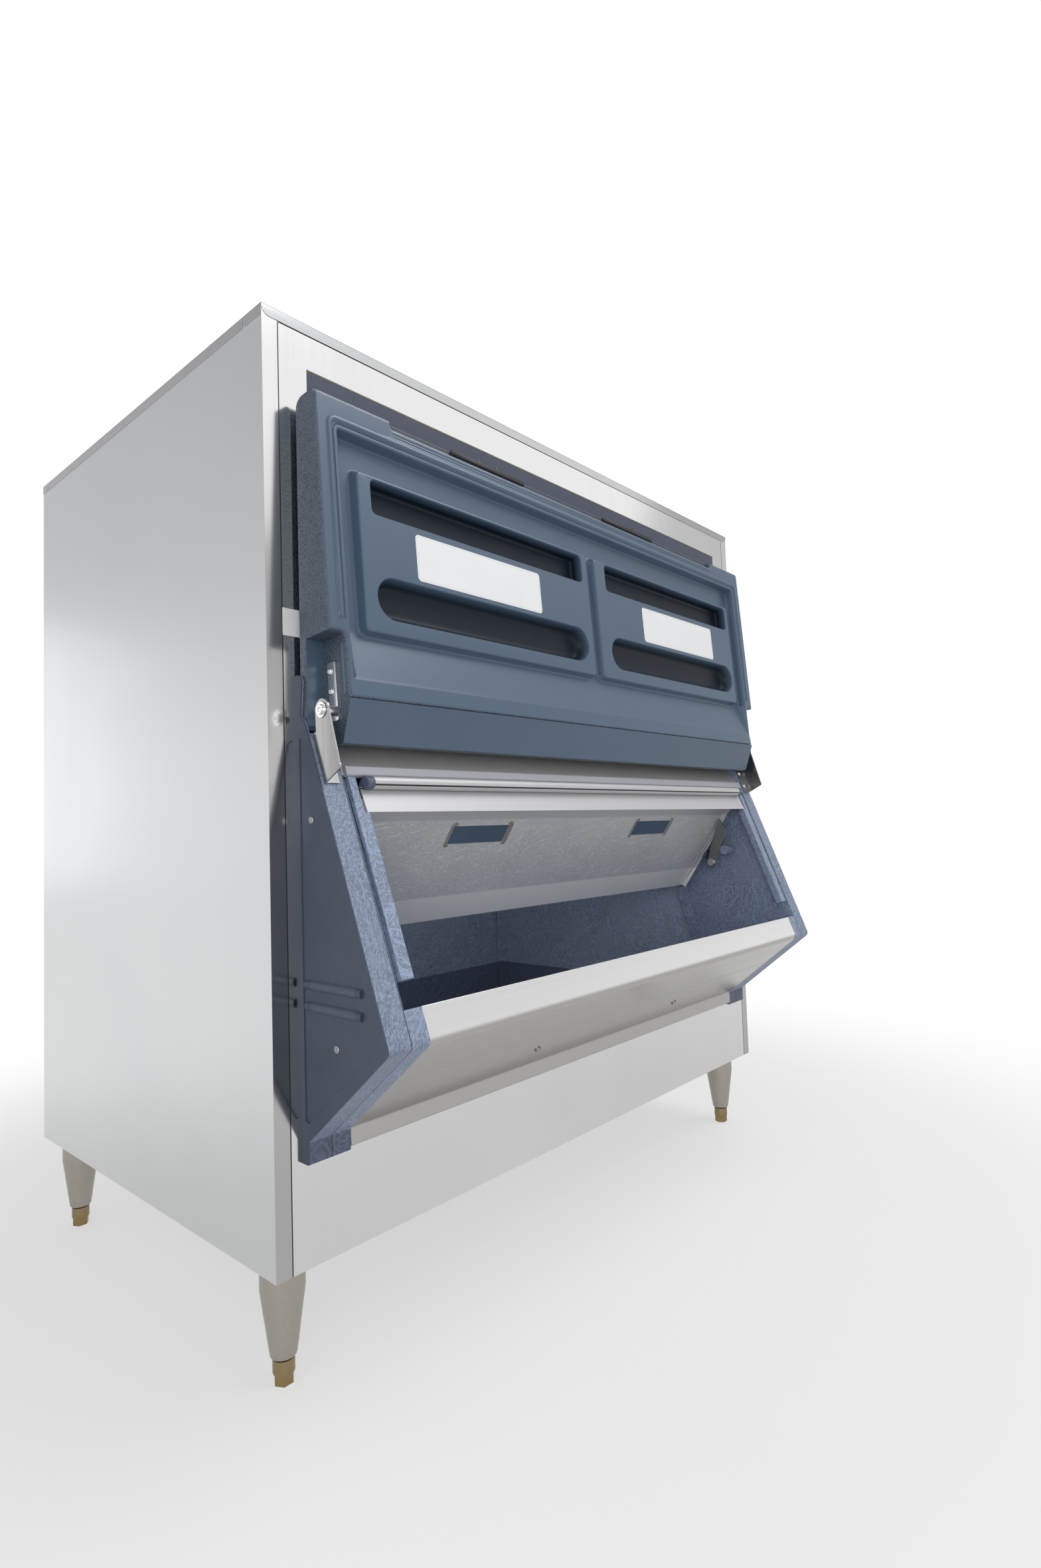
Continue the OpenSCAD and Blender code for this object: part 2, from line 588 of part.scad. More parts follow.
module arm_screws() color(bright) front() pair() for (u = arm_marks)
    translate([arm_x0 - 9.5, mo(u, 0)[0], mo(u, 0)[1]]) rotate([-mouth_tilt, 0, 0]) rotate([90, 0, 0]) {
        translate([0, 0, -12]) cylinder(r = 2.5, h = 12 + arm_t);
        translate([0, 0, arm_t]) cylinder(r = 4.5, h = 2.2);
    }
module arm_bushes() color("dimgray") front() pair() difference() {
    rod(arm_x0 - 0.1, arm_x1 + 0.1, pivot, bush_r);
    rod(arm_x0 - 1, arm_x1 + 1, pivot, pin_r + run);
}

// Door pieces in the door's own frame: back is +Y, u is up from the pivot
rim = pivot_out - rim_gap;
door_x = wall_x - door_in;
pocket_in = wall_x - pocket_x;
field_x = pocket_in - 8;
module hung() translate([0, pivot[0], pivot[1]]) rotate([-lean, 0, 0]) children();
function loc(y, z) = [y * cos(lean) - z * sin(lean), y * sin(lean) + z * cos(lean)];
function fv(v, u) = [-rim - v, u];
// Side outline of the door, t inside its surface
function outline(t) = concat(
    rounded([at(fv(-t, slope_u0), 0), at(fv(-t, door_len - t), 6),
             [(door_back - t - (door_len - t) * sin(lean)) / cos(lean), door_len - t, 14],
             at(loc(door_back - t, 10), 0)]),
    arc([0, 0], door_back - t, lean, lean - 105, 14),
    [fv(flare_v - t, flare_u + 0.4 * t)]);
// Space in front of the door's lid, and the lid's own strip below the pockets
function ahead(v) = [fv(v, door_len + 5), fv(20, door_len + 5), fv(20, flare_u - 9),
                     fv(flare_v - 1, flare_u), fv(v + flare_v - 0.4, flare_u + 0.6), fv(v, slope_u0)];
pocket = [[-80, pocket_u], [(ear_y - pocket_u * sin(lean)) / cos(lean), pocket_u],
          loc(ear_y, 6 - ear_z), loc(ear_y + 5, -ear_z), loc(60, -ear_z), loc(60, -90), loc(-80, -90)];
module pockets(t) pair() slab(pocket_in - t, door_x + 5, [pocket[0] + [0, t], pocket[1] + [t, t],
    pocket[2] + [t, 0], pocket[3] + [t, t], pocket[4] + [0, t], pocket[5], pocket[6]]);
// Flat piece in the door's front plane between depths v0 and v1
module face(v0, v1) translate([0, -rim - v0, 0]) rotate([90, 0, 0]) linear_extrude(v1 - v0) children();
module pad(x0, x1, u0, u1, r) translate([x0 + r, u0 + r]) union() {
    translate([-r, 0]) square([x1 - x0, u1 - u0 - 2 * r]);
    translate([0, -r]) square([x1 - x0 - 2 * r, u1 - u0]);
    for (x = [0, x1 - x0 - 2 * r], u = [0, u1 - u0 - 2 * r]) translate([x, u]) circle(r = r);
}
panel_x1 = field_x - panel_in;
// Hand recesses, as their two ends across the door
recess_x = [[-panel_x1 + 22, -panel_gap - 16], [panel_gap + 32, panel_x1 - 12]];
upper_u = [267, 315];
lower_u = [125, 183];
lower_r = 28.9;
module hollow(t) {
    difference() {
        span(field_x + t, [fv(6, slope_u0), fv(-t * 1.03, slope_u0), fv(-field_v - t, slope_u1),
                           fv(-field_v - t, field_top + t), fv(6, field_top + t)]);
        pair() face(-60, -panel_v - t) pad(panel_gap + t, panel_x1 - t, slope_u1 + t, panel_top - t, 6);
    }
    for (r = recess_x) {
        face(-recess_v - t, 0) pad(r[0] - t, r[1] + t, upper_u[0] - t, upper_u[1] + t, 8 + t);
        face(-recess_v - t, 0) pad(r[0] - t, r[1] + t, lower_u[0] - t, lower_u[1] + t, lower_r + t);
    }
}
notch_x = wall_x - 128.5;
notch_u = door_len - 11;
notch_a = -17.5;
module notch() box([-notch_x, -80, notch_u], [notch_x, notch_a, door_len + 10]);
bead_x1 = door_x - 15;
bead_x0 = bead_x1 - bead_w;
bead_c = (pow(bead_w / 2, 2) + pow(bead_h, 2)) / (2 * bead_h);
bead_mid = bead_top - bead_w / 2;
module bead() intersection() {
    union() {
        pair() translate([(bead_x0 + bead_x1) / 2, -rim + bead_c - bead_h, pocket_u])
            cylinder(r = bead_c, h = bead_mid - pocket_u);
        translate([-bead_x1 + bead_w / 2, -rim + bead_c - bead_h, bead_mid]) rotate([0, 90, 0])
            cylinder(r = bead_c, h = 2 * bead_x1 - bead_w);
        pair() translate([bead_x1 - bead_w / 2, -rim + bead_c - bead_h, bead_mid]) sphere(r = bead_c);
    }
    box([-door_x, -rim - 10, 0], [door_x, -rim + 0.5, door_len]);
}
module door_inner_skin() color(slate) front() hung() {
    difference() {
        union() {
            intersection() {
                span(door_x, outline(0));
                span(door_x, [fv(0, door_len + 5), fv(0, slope_u0), fv(flare_v, flare_u),
                              fv(flare_v - 1, flare_u), fv(flare_v - shell - 0.4, flare_u + 0.6),
                              fv(-shell, slope_u0), fv(-shell, door_len + 5)]);
            }
            intersection() {
                hollow(shell);
                face(-60, -shell) translate([-hw, 0]) square([2 * hw, door_len]);
            }
        }
        hollow(0);
        pockets(0);
        notch();
    }
    bead();
}
screw_u = [26, 52];
screw_a = 7;
module door_outer_skin() color(slate) front() hung() difference() {
    span(door_x, outline(0));
    span(door_x + 1, ahead(-shell));
    pockets(0);
    notch();
    difference() {
        span(door_x - shell, outline(shell));
        pockets(shell);
        translate([0, 0, -shell]) box([-notch_x - shell, -80, notch_u],
            [notch_x + shell, notch_a + shell, door_len + 10]);
    }
    pair() for (u = screw_u) rod(pocket_in - shell - 1, pocket_in + 1, [screw_a, u], 2.4);
}
module door_core() color(foam_tan) front() hung() difference() {
    span(door_x - shell, outline(shell));
    span(door_x + 1, ahead(-shell));
    pockets(shell);
    hollow(shell);
    translate([0, 0, -shell]) box([-notch_x - shell, -80, notch_u],
        [notch_x + shell, notch_a + shell, door_len + 10]);
}
module door_trim() color([0.07, 0.07, 0.08]) front() hung()
    box([-notch_x, notch_a - 2, notch_u], [notch_x, notch_a, door_len - 3]);
clip_x = [[-323.6, -159.6], [57.4, 222.4]];
module trim_clips() color([0.1, 0.1, 0.11]) front() hung() for (c = clip_x) {
    box([c[0], notch_a, door_len], [c[1], notch_a + 5, door_len + 1.2]);
    for (k = [0.366, 0.607]) translate([c[0] + (c[1] - c[0]) * k, notch_a + 2.5, door_len + 1.2])
        cylinder(r = 2.3, h = 2.4);
}
label_w = 264;
label_h = 67;
label_u = (lower_u[1] + upper_u[0] - label_h) / 2 - 1.5;
module door_label(x) face(-panel_v, 0.3 - panel_v) pad(x - label_w / 2, x + label_w / 2, label_u,
    label_u + label_h, 6);
module label_large() color(label_white) front() hung() door_label(-(panel_x1 + panel_gap) / 2 - 20);
module label_small() color(label_white) front() hung() door_label((panel_x1 + panel_gap) / 2 + 28.5);

// Brackets that hang the door on its pins
boss_x = arm_x0 - fit;
module door_bracket() hung() difference() {
    union() {
        slab(pocket_in, pocket_in + arm_t, rounded([[-4.5, -12, 3], [-4.5, 63, 2], [12, 63, 2], [12, -12, 3]]));
        rod(pocket_in + arm_t - 0.5, boss_x, [0, 0], pin_r + 2.5);
    }
    rod(pocket_in - 1, boss_x + 1, [0, 0], pin_r);
    for (u = screw_u) rod(pocket_in - 1, pocket_in + arm_t + 1, [screw_a, u], 2.4);
}
module door_bracket_left() color(bright) front() mirror([1, 0, 0]) door_bracket();
module door_bracket_right() color(bright) front() door_bracket();
module bracket_screws() color(bright) front() hung() pair() for (u = screw_u) {
    rod(pocket_in - shell, pocket_in + arm_t, [screw_a, u], 2.4);
    rod(pocket_in + arm_t, pocket_in + arm_t + 2.4, [screw_a, u], 4.4);
}
module pivot_bolts() color(bright) front() pair() difference() {
    union() {
        rod(pocket_in, arm_x1 + fit, pivot, pin_r);
        rod(arm_x1 + fit, arm_x1 + fit + 1.2, pivot, 10);
        rod(arm_x1 + fit + 1.2, arm_x1 + fit + 4, pivot, 6.5);
    }
    translate([arm_x1 + fit + 2, pivot[0], pivot[1]]) rotate([0, 90, 0]) cylinder(r = 3, h = 5, $fn = 6);
}

side_panel_left();
side_panel_right();
back_panel();
bottom_panel();
front_panel();
front_plate();
top_cap();
liner();
insulation();
leg_front_left();
leg_front_right();
leg_rear_left();
leg_rear_right();
foot_front_left();
foot_front_right();
foot_rear_left();
foot_rear_right();
drain_fitting();
rating_plate();
wall_left();
wall_right();
wall_screws();
hopper_front();
hopper_screws();
hopper_liner();
hopper_foam();
header_sheet();
edge_bar();
gate();
gate_panes();
gate_end_caps();
guide_left();
guide_right();
pawl_left();
pawl_right();
pawl_studs();
arm_left();
arm_right();
arm_screws();
arm_bushes();
pivot_bolts();
door_bracket_left();
door_bracket_right();
bracket_screws();
door_inner_skin();
door_outer_skin();
door_core();
door_trim();
trim_clips();
label_large();
label_small();
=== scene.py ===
# %% [markdown]
# # An ice storage bin with its door open
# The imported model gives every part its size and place. This lesson dresses it: brushed
# steel sheets, a moulded slate-blue door, speckled hopper walls and bright hardware.
# Everything is in metres, with X to the right, -Y out of the front and Z up.

# %% Load the frame
import bpy
import bmesh
import json
import math
from mathutils import Matrix, Vector
from mathutils.geometry import delaunay_2d_cdt

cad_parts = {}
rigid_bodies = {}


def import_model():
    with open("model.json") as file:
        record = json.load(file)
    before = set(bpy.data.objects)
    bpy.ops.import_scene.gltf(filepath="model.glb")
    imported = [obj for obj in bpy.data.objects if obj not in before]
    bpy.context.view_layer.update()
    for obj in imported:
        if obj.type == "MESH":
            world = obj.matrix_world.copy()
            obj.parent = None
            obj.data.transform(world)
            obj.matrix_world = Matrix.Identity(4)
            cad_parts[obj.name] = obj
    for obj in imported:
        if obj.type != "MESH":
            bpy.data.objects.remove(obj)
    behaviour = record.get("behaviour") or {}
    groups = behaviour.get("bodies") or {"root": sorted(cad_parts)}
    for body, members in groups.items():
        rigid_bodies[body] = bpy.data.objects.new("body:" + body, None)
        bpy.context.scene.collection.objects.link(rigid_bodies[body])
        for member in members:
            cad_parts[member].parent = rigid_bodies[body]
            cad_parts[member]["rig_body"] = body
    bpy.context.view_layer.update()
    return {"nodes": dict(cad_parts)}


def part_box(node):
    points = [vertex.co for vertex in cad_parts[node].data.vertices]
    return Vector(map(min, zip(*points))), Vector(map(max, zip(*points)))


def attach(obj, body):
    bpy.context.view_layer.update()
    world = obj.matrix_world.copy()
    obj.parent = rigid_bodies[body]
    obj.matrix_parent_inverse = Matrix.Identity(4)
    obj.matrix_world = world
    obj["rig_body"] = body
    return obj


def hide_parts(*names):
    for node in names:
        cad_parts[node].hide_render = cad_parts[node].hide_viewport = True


MM = 0.001


def in_scene(name, data):
    made = bpy.data.objects.new(name, data)
    bpy.context.scene.collection.objects.link(made)
    return made


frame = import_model()
nodes = frame["nodes"]
body_of = {n: o["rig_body"] for n, o in nodes.items()}
print("nodes:", len(nodes))

# %% [markdown]
# The camera stood low and close at the left front corner, so the nearest corner of the
# bin looms. A focal length in pixels becomes a lens on a 36 mm sensor height. The three
# directions of the camera are built by hand, which keeps its small roll exact.

# %% Camera
PHOTO_H = 2361
FOCAL_PX = 1227.24
yaw, pitch, roll = 0.841343, 0.053777, -0.032163
ahead = Vector((math.sin(yaw) * math.cos(pitch), math.cos(yaw) * math.cos(pitch), math.sin(pitch)))
level = Vector((math.cos(yaw), -math.sin(yaw), 0))
above = level.cross(ahead)
cam_x = math.cos(roll) * level + math.sin(roll) * above
cam_y = math.cos(roll) * above - math.sin(roll) * level
camera_data = bpy.data.cameras.new("photo_camera")
camera_data.sensor_fit = "VERTICAL"
camera_data.sensor_height = 36
camera_data.lens = FOCAL_PX / PHOTO_H * 36
camera_data.clip_start = 0.05
camera = in_scene("photo_camera", camera_data)
turn = Matrix((cam_x, cam_y, -ahead)).transposed().to_4x4()
camera.matrix_world = Matrix.Translation((-1.1459, -1.19521, 0.684411)) @ turn
bpy.context.scene.camera = camera
bpy.context.scene.view_settings.view_transform = "Standard"
print("lens:", round(camera_data.lens, 2), "mm")

# %% [markdown]
# Shading first. Several finishes share an effect, so each effect is one node group with its own inputs: streaks for
# brushed steel, a pebbled grain for moulded plastic, hair scratches, fine specks, slow smudges, and a soft band along
# an axis, which sets a change of finish and also places painted light and shade at a certain height or side. A group
# puts out masks, and a material uses them.

# %% Adding nodes
def feed(tree, target, value):
    """Links a socket, or the first output of a node. Anything else is set."""
    if isinstance(value, bpy.types.Node):
        value = value.outputs[0]
    if isinstance(value, bpy.types.NodeSocket):
        tree.links.new(value, target)
    elif isinstance(value, tuple) and target.type == "RGBA":
        target.default_value = (*value, 1)
    else:
        target.default_value = value


def add(tree, kind, *numbered, **named):
    """A node with its properties and inputs by name (_ stands for a space), or its inputs in order."""
    full = kind if kind.startswith(("Geometry", "Function", "NodeGroup")) else "ShaderNode" + kind
    node = tree.nodes.new(full)
    row, column = divmod(len(tree.nodes), 8)
    node.location = 220 * column - 900, -320 * row
    for key, value in named.items():
        if hasattr(node, key):
            setattr(node, key, value)
        else:
            feed(tree, node.inputs[key.replace("_", " ")], value)
    for socket, value in zip(node.inputs, numbered):
        feed(tree, socket, value)
    return node


def maths(tree, operation, *values, **named):
    return add(tree, "Math", *values, operation=operation, **named).outputs[0]


def vectors(tree, operation, *values, **named):
    return add(tree, "VectorMath", *values, operation=operation, **named)


def span_of(tree, value, from_low, from_high, to_low=0.0, to_high=1.0, shape="LINEAR"):
    """Maps a value from one span to another and clamps it."""
    ends = {"From_Min": from_low, "From_Max": from_high, "To_Min": to_low, "To_Max": to_high}
    return add(tree, "MapRange", interpolation_type=shape, Value=value, **ends).outputs["Result"]


def blend(tree, factor, a, b, kind="MIX"):
    mix = add(tree, "Mix", data_type="RGBA", blend_type=kind, Factor=factor)
    feed(tree, mix.inputs[6], a)
    feed(tree, mix.inputs[7], b)
    return mix.outputs[2]


def new_group(name, **inputs):
    """A shader group, its input sockets and the object's own coordinates."""
    group = bpy.data.node_groups.new(name, "ShaderNodeTree")
    for label, value in inputs.items():
        kind = "NodeSocketVector" if isinstance(value, tuple) else "NodeSocketFloat"
        group.interface.new_socket(label, in_out="INPUT", socket_type=kind).default_value = value
    return group, add(group, "NodeGroupInput").outputs, add(group, "TexCoord").outputs["Object"]


def put_out(group, **values):
    """Gives a group its outputs, which are masks or plain values."""
    for label in values:
        group.interface.new_socket(label, in_out="OUTPUT", socket_type="NodeSocketFloat")
    add(group, "NodeGroupOutput", **values)
    print("group:", group.name)
    return group


# %% Streaks of brushed steel
def make_streaks():
    """Long thin streaks, as a belt leaves on steel. Stretch sets their scale along X, Y and Z."""
    group, given, place = new_group("belt_streaks", Stretch=(8.0, 8.0, 700.0))
    scaled = vectors(group, "MULTIPLY", place, given["Stretch"])
    slower = vectors(group, "MULTIPLY", scaled, (0.12, 0.12, 0.12))
    fine = add(group, "TexNoise", Vector=scaled, Scale=1.0, Detail=3.0, Roughness=0.6)
    broad = add(group, "TexNoise", Vector=slower, Scale=1.0, Detail=2.0, Roughness=0.5)
    return put_out(group, Streak=fine, Broad=broad)


STREAKS = make_streaks()


# %% Pebbled mould grain
def make_pebble():
    """Rounded cells with soft valleys, broken up by a little noise."""
    group, given, place = new_group("mould_pebble", Scale=600.0, Roughen=0.6)
    cells = add(group, "TexVoronoi", feature="SMOOTH_F1", Vector=place, Scale=given["Scale"], Smoothness=0.4)
    noise = add(group, "TexNoise", Vector=place, Scale=given["Scale"], Detail=3.0, Roughness=0.6)
    height = maths(group, "MULTIPLY_ADD", noise, given["Roughen"], maths(group, "SUBTRACT", 1.0, cells))
    return put_out(group, Height=height, Valley=cells)


PEBBLE = make_pebble()


# %% Hair scratches
def make_scratches():
    """Sparse hair lines in three directions. Swirl bends them, as wiping in circles does."""
    group, given, place = new_group("hair_scratches", Scale=1.0, Swirl=0.02, Cut=0.6)
    wander = add(group, "TexNoise", Vector=place, Scale=9.0, Detail=1.0)
    bend = vectors(group, "SCALE", wander.outputs["Color"], Scale=given["Swirl"])
    bent = vectors(group, "ADD", place, bend)
    masks = []
    for angle in (0.35, 1.35, 2.5):
        way = (angle, 0.5 * angle, 0.7 * angle)
        turned = add(group, "VectorRotate", bent, rotation_type="EULER_XYZ", Rotation=way)
        thin = vectors(group, "MULTIPLY", turned, (26.0, 820.0, 820.0))
        hair = add(group, "TexNoise", Vector=thin, Scale=given["Scale"], Detail=2.0, Roughness=0.7)
        masks.append(span_of(group, maths(group, "SUBTRACT", hair, given["Cut"]), 0.0, 0.1))
    first, second, third = masks
    return put_out(group, Scratch=maths(group, "MAXIMUM", maths(group, "MAXIMUM", first, second), third))


SCRATCHES = make_scratches()


# %% Smudges, specks and a band along an axis
def make_smudges():
    """Slow, cloudy variation, as handling and wiping leave, with fine specks beside it."""
    group, given, place = new_group("wiped_smudges", Scale=6.0, Specks=900.0)
    cloud = add(group, "TexNoise", Vector=place, Scale=given["Scale"], Detail=4.0, Roughness=0.55, Distortion=0.6)
    speck = add(group, "TexNoise", Vector=place, Scale=given["Specks"], Detail=2.0, Roughness=0.8)
    return put_out(group, Smudge=cloud, Speck=span_of(group, speck, 0.45, 0.7))


def make_band():
    """One past a plane: Along is the direction, Start the distance where the change begins."""
    group, given, place = new_group("band_along", Along=(0.0, 0.0, 1.0), Start=0.0, Width=0.002)
    reach = vectors(group, "DOT_PRODUCT", place, given["Along"]).outputs["Value"]
    gap = maths(group, "SUBTRACT", reach, given["Start"])
    return put_out(group, Past=maths(group, "DIVIDE", gap, given["Width"], use_clamp=True))


SMUDGES, BAND = make_smudges(), make_band()
UP, DOWN, RIGHT, LEFT = (0.0, 0.0, 1.0), (0.0, 0.0, -1.0), (1.0, 0.0, 0.0), (-1.0, 0.0, 0.0)


# %% Building blocks of a finish
class Finish:
    """A material whose Principled shader takes its colour, roughness and normal from node chains."""

    def __init__(self, name, **sockets):
        self.material = bpy.data.materials.new(name)
        self.material.use_nodes = True
        self.tree = self.material.node_tree
        self.shader = self.tree.nodes["Principled BSDF"]
        for key, value in sockets.items():
            self.shader.inputs[key.replace("_", " ")].default_value = value

    def add(self, kind, *numbered, **named):
        return add(self.tree, kind, *numbered, **named)

    def use(self, group, **values):
        """The outputs of a group whose inputs are set."""
        return self.add("Group", node_tree=group, **values).outputs

    def band(self, along, start, width):
        return self.use(BAND, Along=along, Start=start, Width=width)["Past"]

    def ramp(self, value, first, last, start=0.3, end=0.7):
        """From one colour to another over a value."""
        ramp = self.add("ValToRGB", value)
        for point, where, colour in zip(ramp.color_ramp.elements, (start, end), (first, last)):
            point.position = where
            point.color = (*colour, 1)
        return ramp.outputs["Color"]

    def blend(self, factor, a, b, kind="MIX"):
        return blend(self.tree, factor, a, b, kind)

    def spread(self, value, low, high, start=0.3, end=0.7):
        """From low to high where the value runs from start to end."""
        return span_of(self.tree, value, start, end, low, high)

    def maths(self, operation, *values):
        return maths(self.tree, operation, *values)

    def bump(self, height, depth, **more):
        return self.add("Bump", Height=height, Distance=depth, **more).outputs["Normal"]

    def end(self, colour, roughness=None, normal=None):
        for value, key in ((colour, "Base Color"), (roughness, "Roughness"), (normal, "Normal")):
            if value is not None:
                feed(self.tree, self.shader.inputs[key], value)
        return self.material


def times(colour, factor):
    return tuple(min(1.0, c * factor) for c in colour)


def grey(value):
    return (value, value, value)


# %% [markdown]
# Brushed stainless steel is a metal with fine streaks along one direction. The streaks change its colour by a few
# percent, its roughness a little, and a very shallow bump breaks the reflections up. On most sheets the soft
# gradients come from the room; the fold beside the door and the hopper front have painted light and shade, made
# further down. One function makes each sheet's version, with the streaks turned to suit.

# %% Steel finishes
def brushed(name, stretch, tint=(0.7, 0.71, 0.715), rough=(0.24, 0.3), depth=6e-6, contrast=0.035, metal=1.0):
    steel = Finish(name, Metallic=metal)
    streaks = steel.use(STREAKS, Stretch=stretch)
    smudges = steel.use(SMUDGES, Scale=2.5)
    base = steel.ramp(streaks["Streak"], times(tint, 1 - contrast), times(tint, 1 + contrast))
    cloud = steel.ramp(smudges["Smudge"], (0.965, 0.965, 0.97), grey(1), 0.35, 0.65)
    colour = steel.blend(1.0, base, cloud, "MULTIPLY")
    return steel.end(colour, steel.spread(streaks["Broad"], *rough), steel.bump(streaks["Streak"], depth))


ALONG_X, ALONG_Z = (4.0, 1300.0, 1300.0), (1300.0, 1300.0, 4.0)
SMOOTH_Z, ROUND = (700.0, 700.0, 2.0), (500.0, 500.0, 500.0)
steel_sides = brushed("brushed_steel_sides", SMOOTH_Z, (0.68, 0.69, 0.695), (0.265, 0.275), 3e-7, 0.006)
steel_front = brushed("brushed_steel_front", ALONG_Z, grey(0.7), (0.12, 0.16), 1.5e-6, 0.015)
steel_header = brushed("pale_steel_header", ALONG_X, (0.7, 0.68, 0.65), (0.3, 0.4), 6e-6, 0.06, 0.55)
steel_bright = brushed("bright_hardware", ROUND, (0.72, 0.72, 0.73), (0.14, 0.24), 1e-5)
steel_arm = brushed("brushed_arm", ALONG_Z, grey(0.36), (0.2, 0.3))
steel_dark = brushed("dark_pawl_steel", (500.0, 60.0, 500.0), (0.3, 0.3, 0.29), (0.34, 0.5), 2e-5, 0.15)
steel_cap = brushed("cap_steel", ALONG_X, (0.5, 0.505, 0.51), (0.13, 0.17), 1e-6, 0.02)
steel_head = brushed("screw_head_steel", ROUND, (0.34, 0.34, 0.35), (0.24, 0.34), 1e-5)
print("steel finishes: 8")

# %% [markdown]
# The gate has been handled most: its lip and rolled edge stay bright, and the sheet below is duller, brownish and
# full of hair scratches. Bands along the height and along the mouth tell these apart, and two dark bands along the
# mouth are painted shade, at the foot of the strip and under the lip bar. The hopper's front is painted in two tones,
# its lip above the bend pale as lit and its face below dark as shaded, and the narrow fold beside the door is painted
# dimmer below the hinges, a painted reflection of the door. The legs and feet take a warm tint, which deepens at the
# tips.

# %% Worn gate steel
GATE_TILT = math.radians(35)
MOUTH_TILT = math.radians(21.3)
MOUTH_UP = Vector((0, math.sin(MOUTH_TILT), math.cos(MOUTH_TILT)))
MOUTH_OUT = Vector((0, -math.cos(MOUTH_TILT), math.sin(MOUTH_TILT)))
MOUTH_LENGTH = 416.3
FRONT_Y = -302.483
MOUTH_NOSE = Vector((0, -171.4 + FRONT_Y, 438.5))
STRIP_FOOT = MM * (MOUTH_NOSE.dot(MOUTH_UP) + MOUTH_LENGTH - 89)


def worn_gate():
    steel = Finish("worn_gate_steel")
    streaks = steel.use(STREAKS, Stretch=ALONG_X)
    scratches = steel.use(SCRATCHES, Scale=0.45, Swirl=0.05, Cut=0.58)["Scratch"]
    smudges = steel.use(SMUDGES, Scale=9.0)
    top = max(v.co.z for v in nodes["gate"].data.vertices)
    below = steel.band(DOWN, 0.056 - top, 0.003)
    bright = steel.ramp(streaks["Streak"], (0.52, 0.52, 0.53), (0.58, 0.58, 0.59))
    dull = steel.ramp(smudges["Smudge"], grey(0.58), (0.68, 0.675, 0.67))
    scored = steel.blend(steel.spread(scratches, 0, 0.8, 0, 1), dull, grey(0.97))
    lighter = steel.blend(steel.band(DOWN, -0.582, 0.002), scored, (0.92, 0.91, 0.87))
    colour = steel.blend(below, bright, lighter)
    # Painted shade: two near-black bands along the mouth, at the foot of the strip and under the lip bar.
    for level, wide in ((-0.0035, 0.0022), (0.0135, 0.02)):
        start = STRIP_FOOT + level
        ends = (steel.band(MOUTH_UP, start, 0.0003), steel.band(-MOUTH_UP, -start - wide, 0.0003))
        colour = steel.blend(steel.maths("MULTIPLY", *ends), colour, grey(0.03))
    feed(steel.tree, steel.shader.inputs["Metallic"], steel.maths("MULTIPLY_ADD", below, -0.2, 0.5))
    return steel.end(colour, steel.maths("MULTIPLY_ADD", below, -0.04, 0.48), steel.bump(scratches, 2e-5))


def warm_leg(name, tint, tip):
    steel = Finish(name, Metallic=1.0)
    streak = steel.use(STREAKS, Stretch=(900.0, 900.0, 30.0))["Streak"]
    smudges = steel.use(SMUDGES, Scale=30.0)
    base = steel.blend(steel.band(DOWN, -0.05, 0.05), tint, tip)
    colour = steel.blend(1.0, base, steel.ramp(streak, grey(0.9), grey(1)), "MULTIPLY")
    return steel.end(colour, steel.spread(smudges["Smudge"], 0.3, 0.42), steel.bump(streak, 1e-5))


def two_toned(name, stretch, band, before, after, depth, rough=None):
    """Brushed steel whose tones, given as (low, high), change at a band."""
    steel = Finish(name, Metallic=1.0, Roughness=0.15)
    streaks = steel.use(STREAKS, Stretch=stretch)
    tones = [steel.ramp(streaks["Streak"], *pair) for pair in (before, after)]
    roughness = steel.spread(streaks["Broad"], *rough) if rough else None
    return steel.end(steel.blend(steel.band(*band), *tones), roughness, steel.bump(streaks["Streak"], depth))


# Painted reflection: the fold is painted dimmer below the hinges, where it mirrors the dark door.
steel_flange_painted_reflection = two_toned("brushed_steel_flange", ALONG_Z, (DOWN, -1.2, 0.28),
                         (grey(0.69), grey(0.71)), (grey(0.44), grey(0.46)), 1.5e-6)
# Painted light and shade: the lip above the bend is painted pale and the face below painted dark.
steel_hopper_lit_and_shaded = two_toned("brushed_steel_hopper", ALONG_X, (UP, 0.441, 0.006),
                         ((0.425, 0.415, 0.398), (0.455, 0.445, 0.427)),
                         ((0.84, 0.835, 0.83), (0.88, 0.875, 0.865)), 4e-6, (0.2, 0.28))
steel_gate = worn_gate()
steel_leg = warm_leg("leg_steel", (0.43, 0.405, 0.355), (0.38, 0.34, 0.27))
steel_foot = warm_leg("foot_steel", (0.34, 0.28, 0.19), (0.32, 0.23, 0.1))
print("worn finishes: 5")

# %% [markdown]
# The door and the hopper are moulded plastic. The door is a satin slate blue, smooth on its inside, with a leathery
# grain on its outside. The hopper walls have the same fine grain on their outer faces, and are rubbed paler with hair
# scratches everywhere else. Their inside faces are also painted lighter, which is painted light, and below a set
# height they are painted darker, which is painted shade.

# %% Door plastics
def moulded(name, colour, scale, depth, rough=(0.38, 0.5), shade=0.05, valley=0.86, roughen=0.6):
    plastic = Finish(name)
    pebble = plastic.use(PEBBLE, Scale=scale, Roughen=roughen)
    smudge = plastic.use(SMUDGES, Scale=5.0)["Smudge"]
    tone = plastic.ramp(smudge, times(colour, 1 - shade), times(colour, 1 + shade), 0.35, 0.65)
    grain = plastic.ramp(pebble["Valley"], grey(1), grey(valley), 0, 0.8)
    both = plastic.blend(1.0, tone, grain, "MULTIPLY")
    return plastic.end(both, plastic.spread(smudge, *rough), plastic.bump(pebble["Height"], depth))


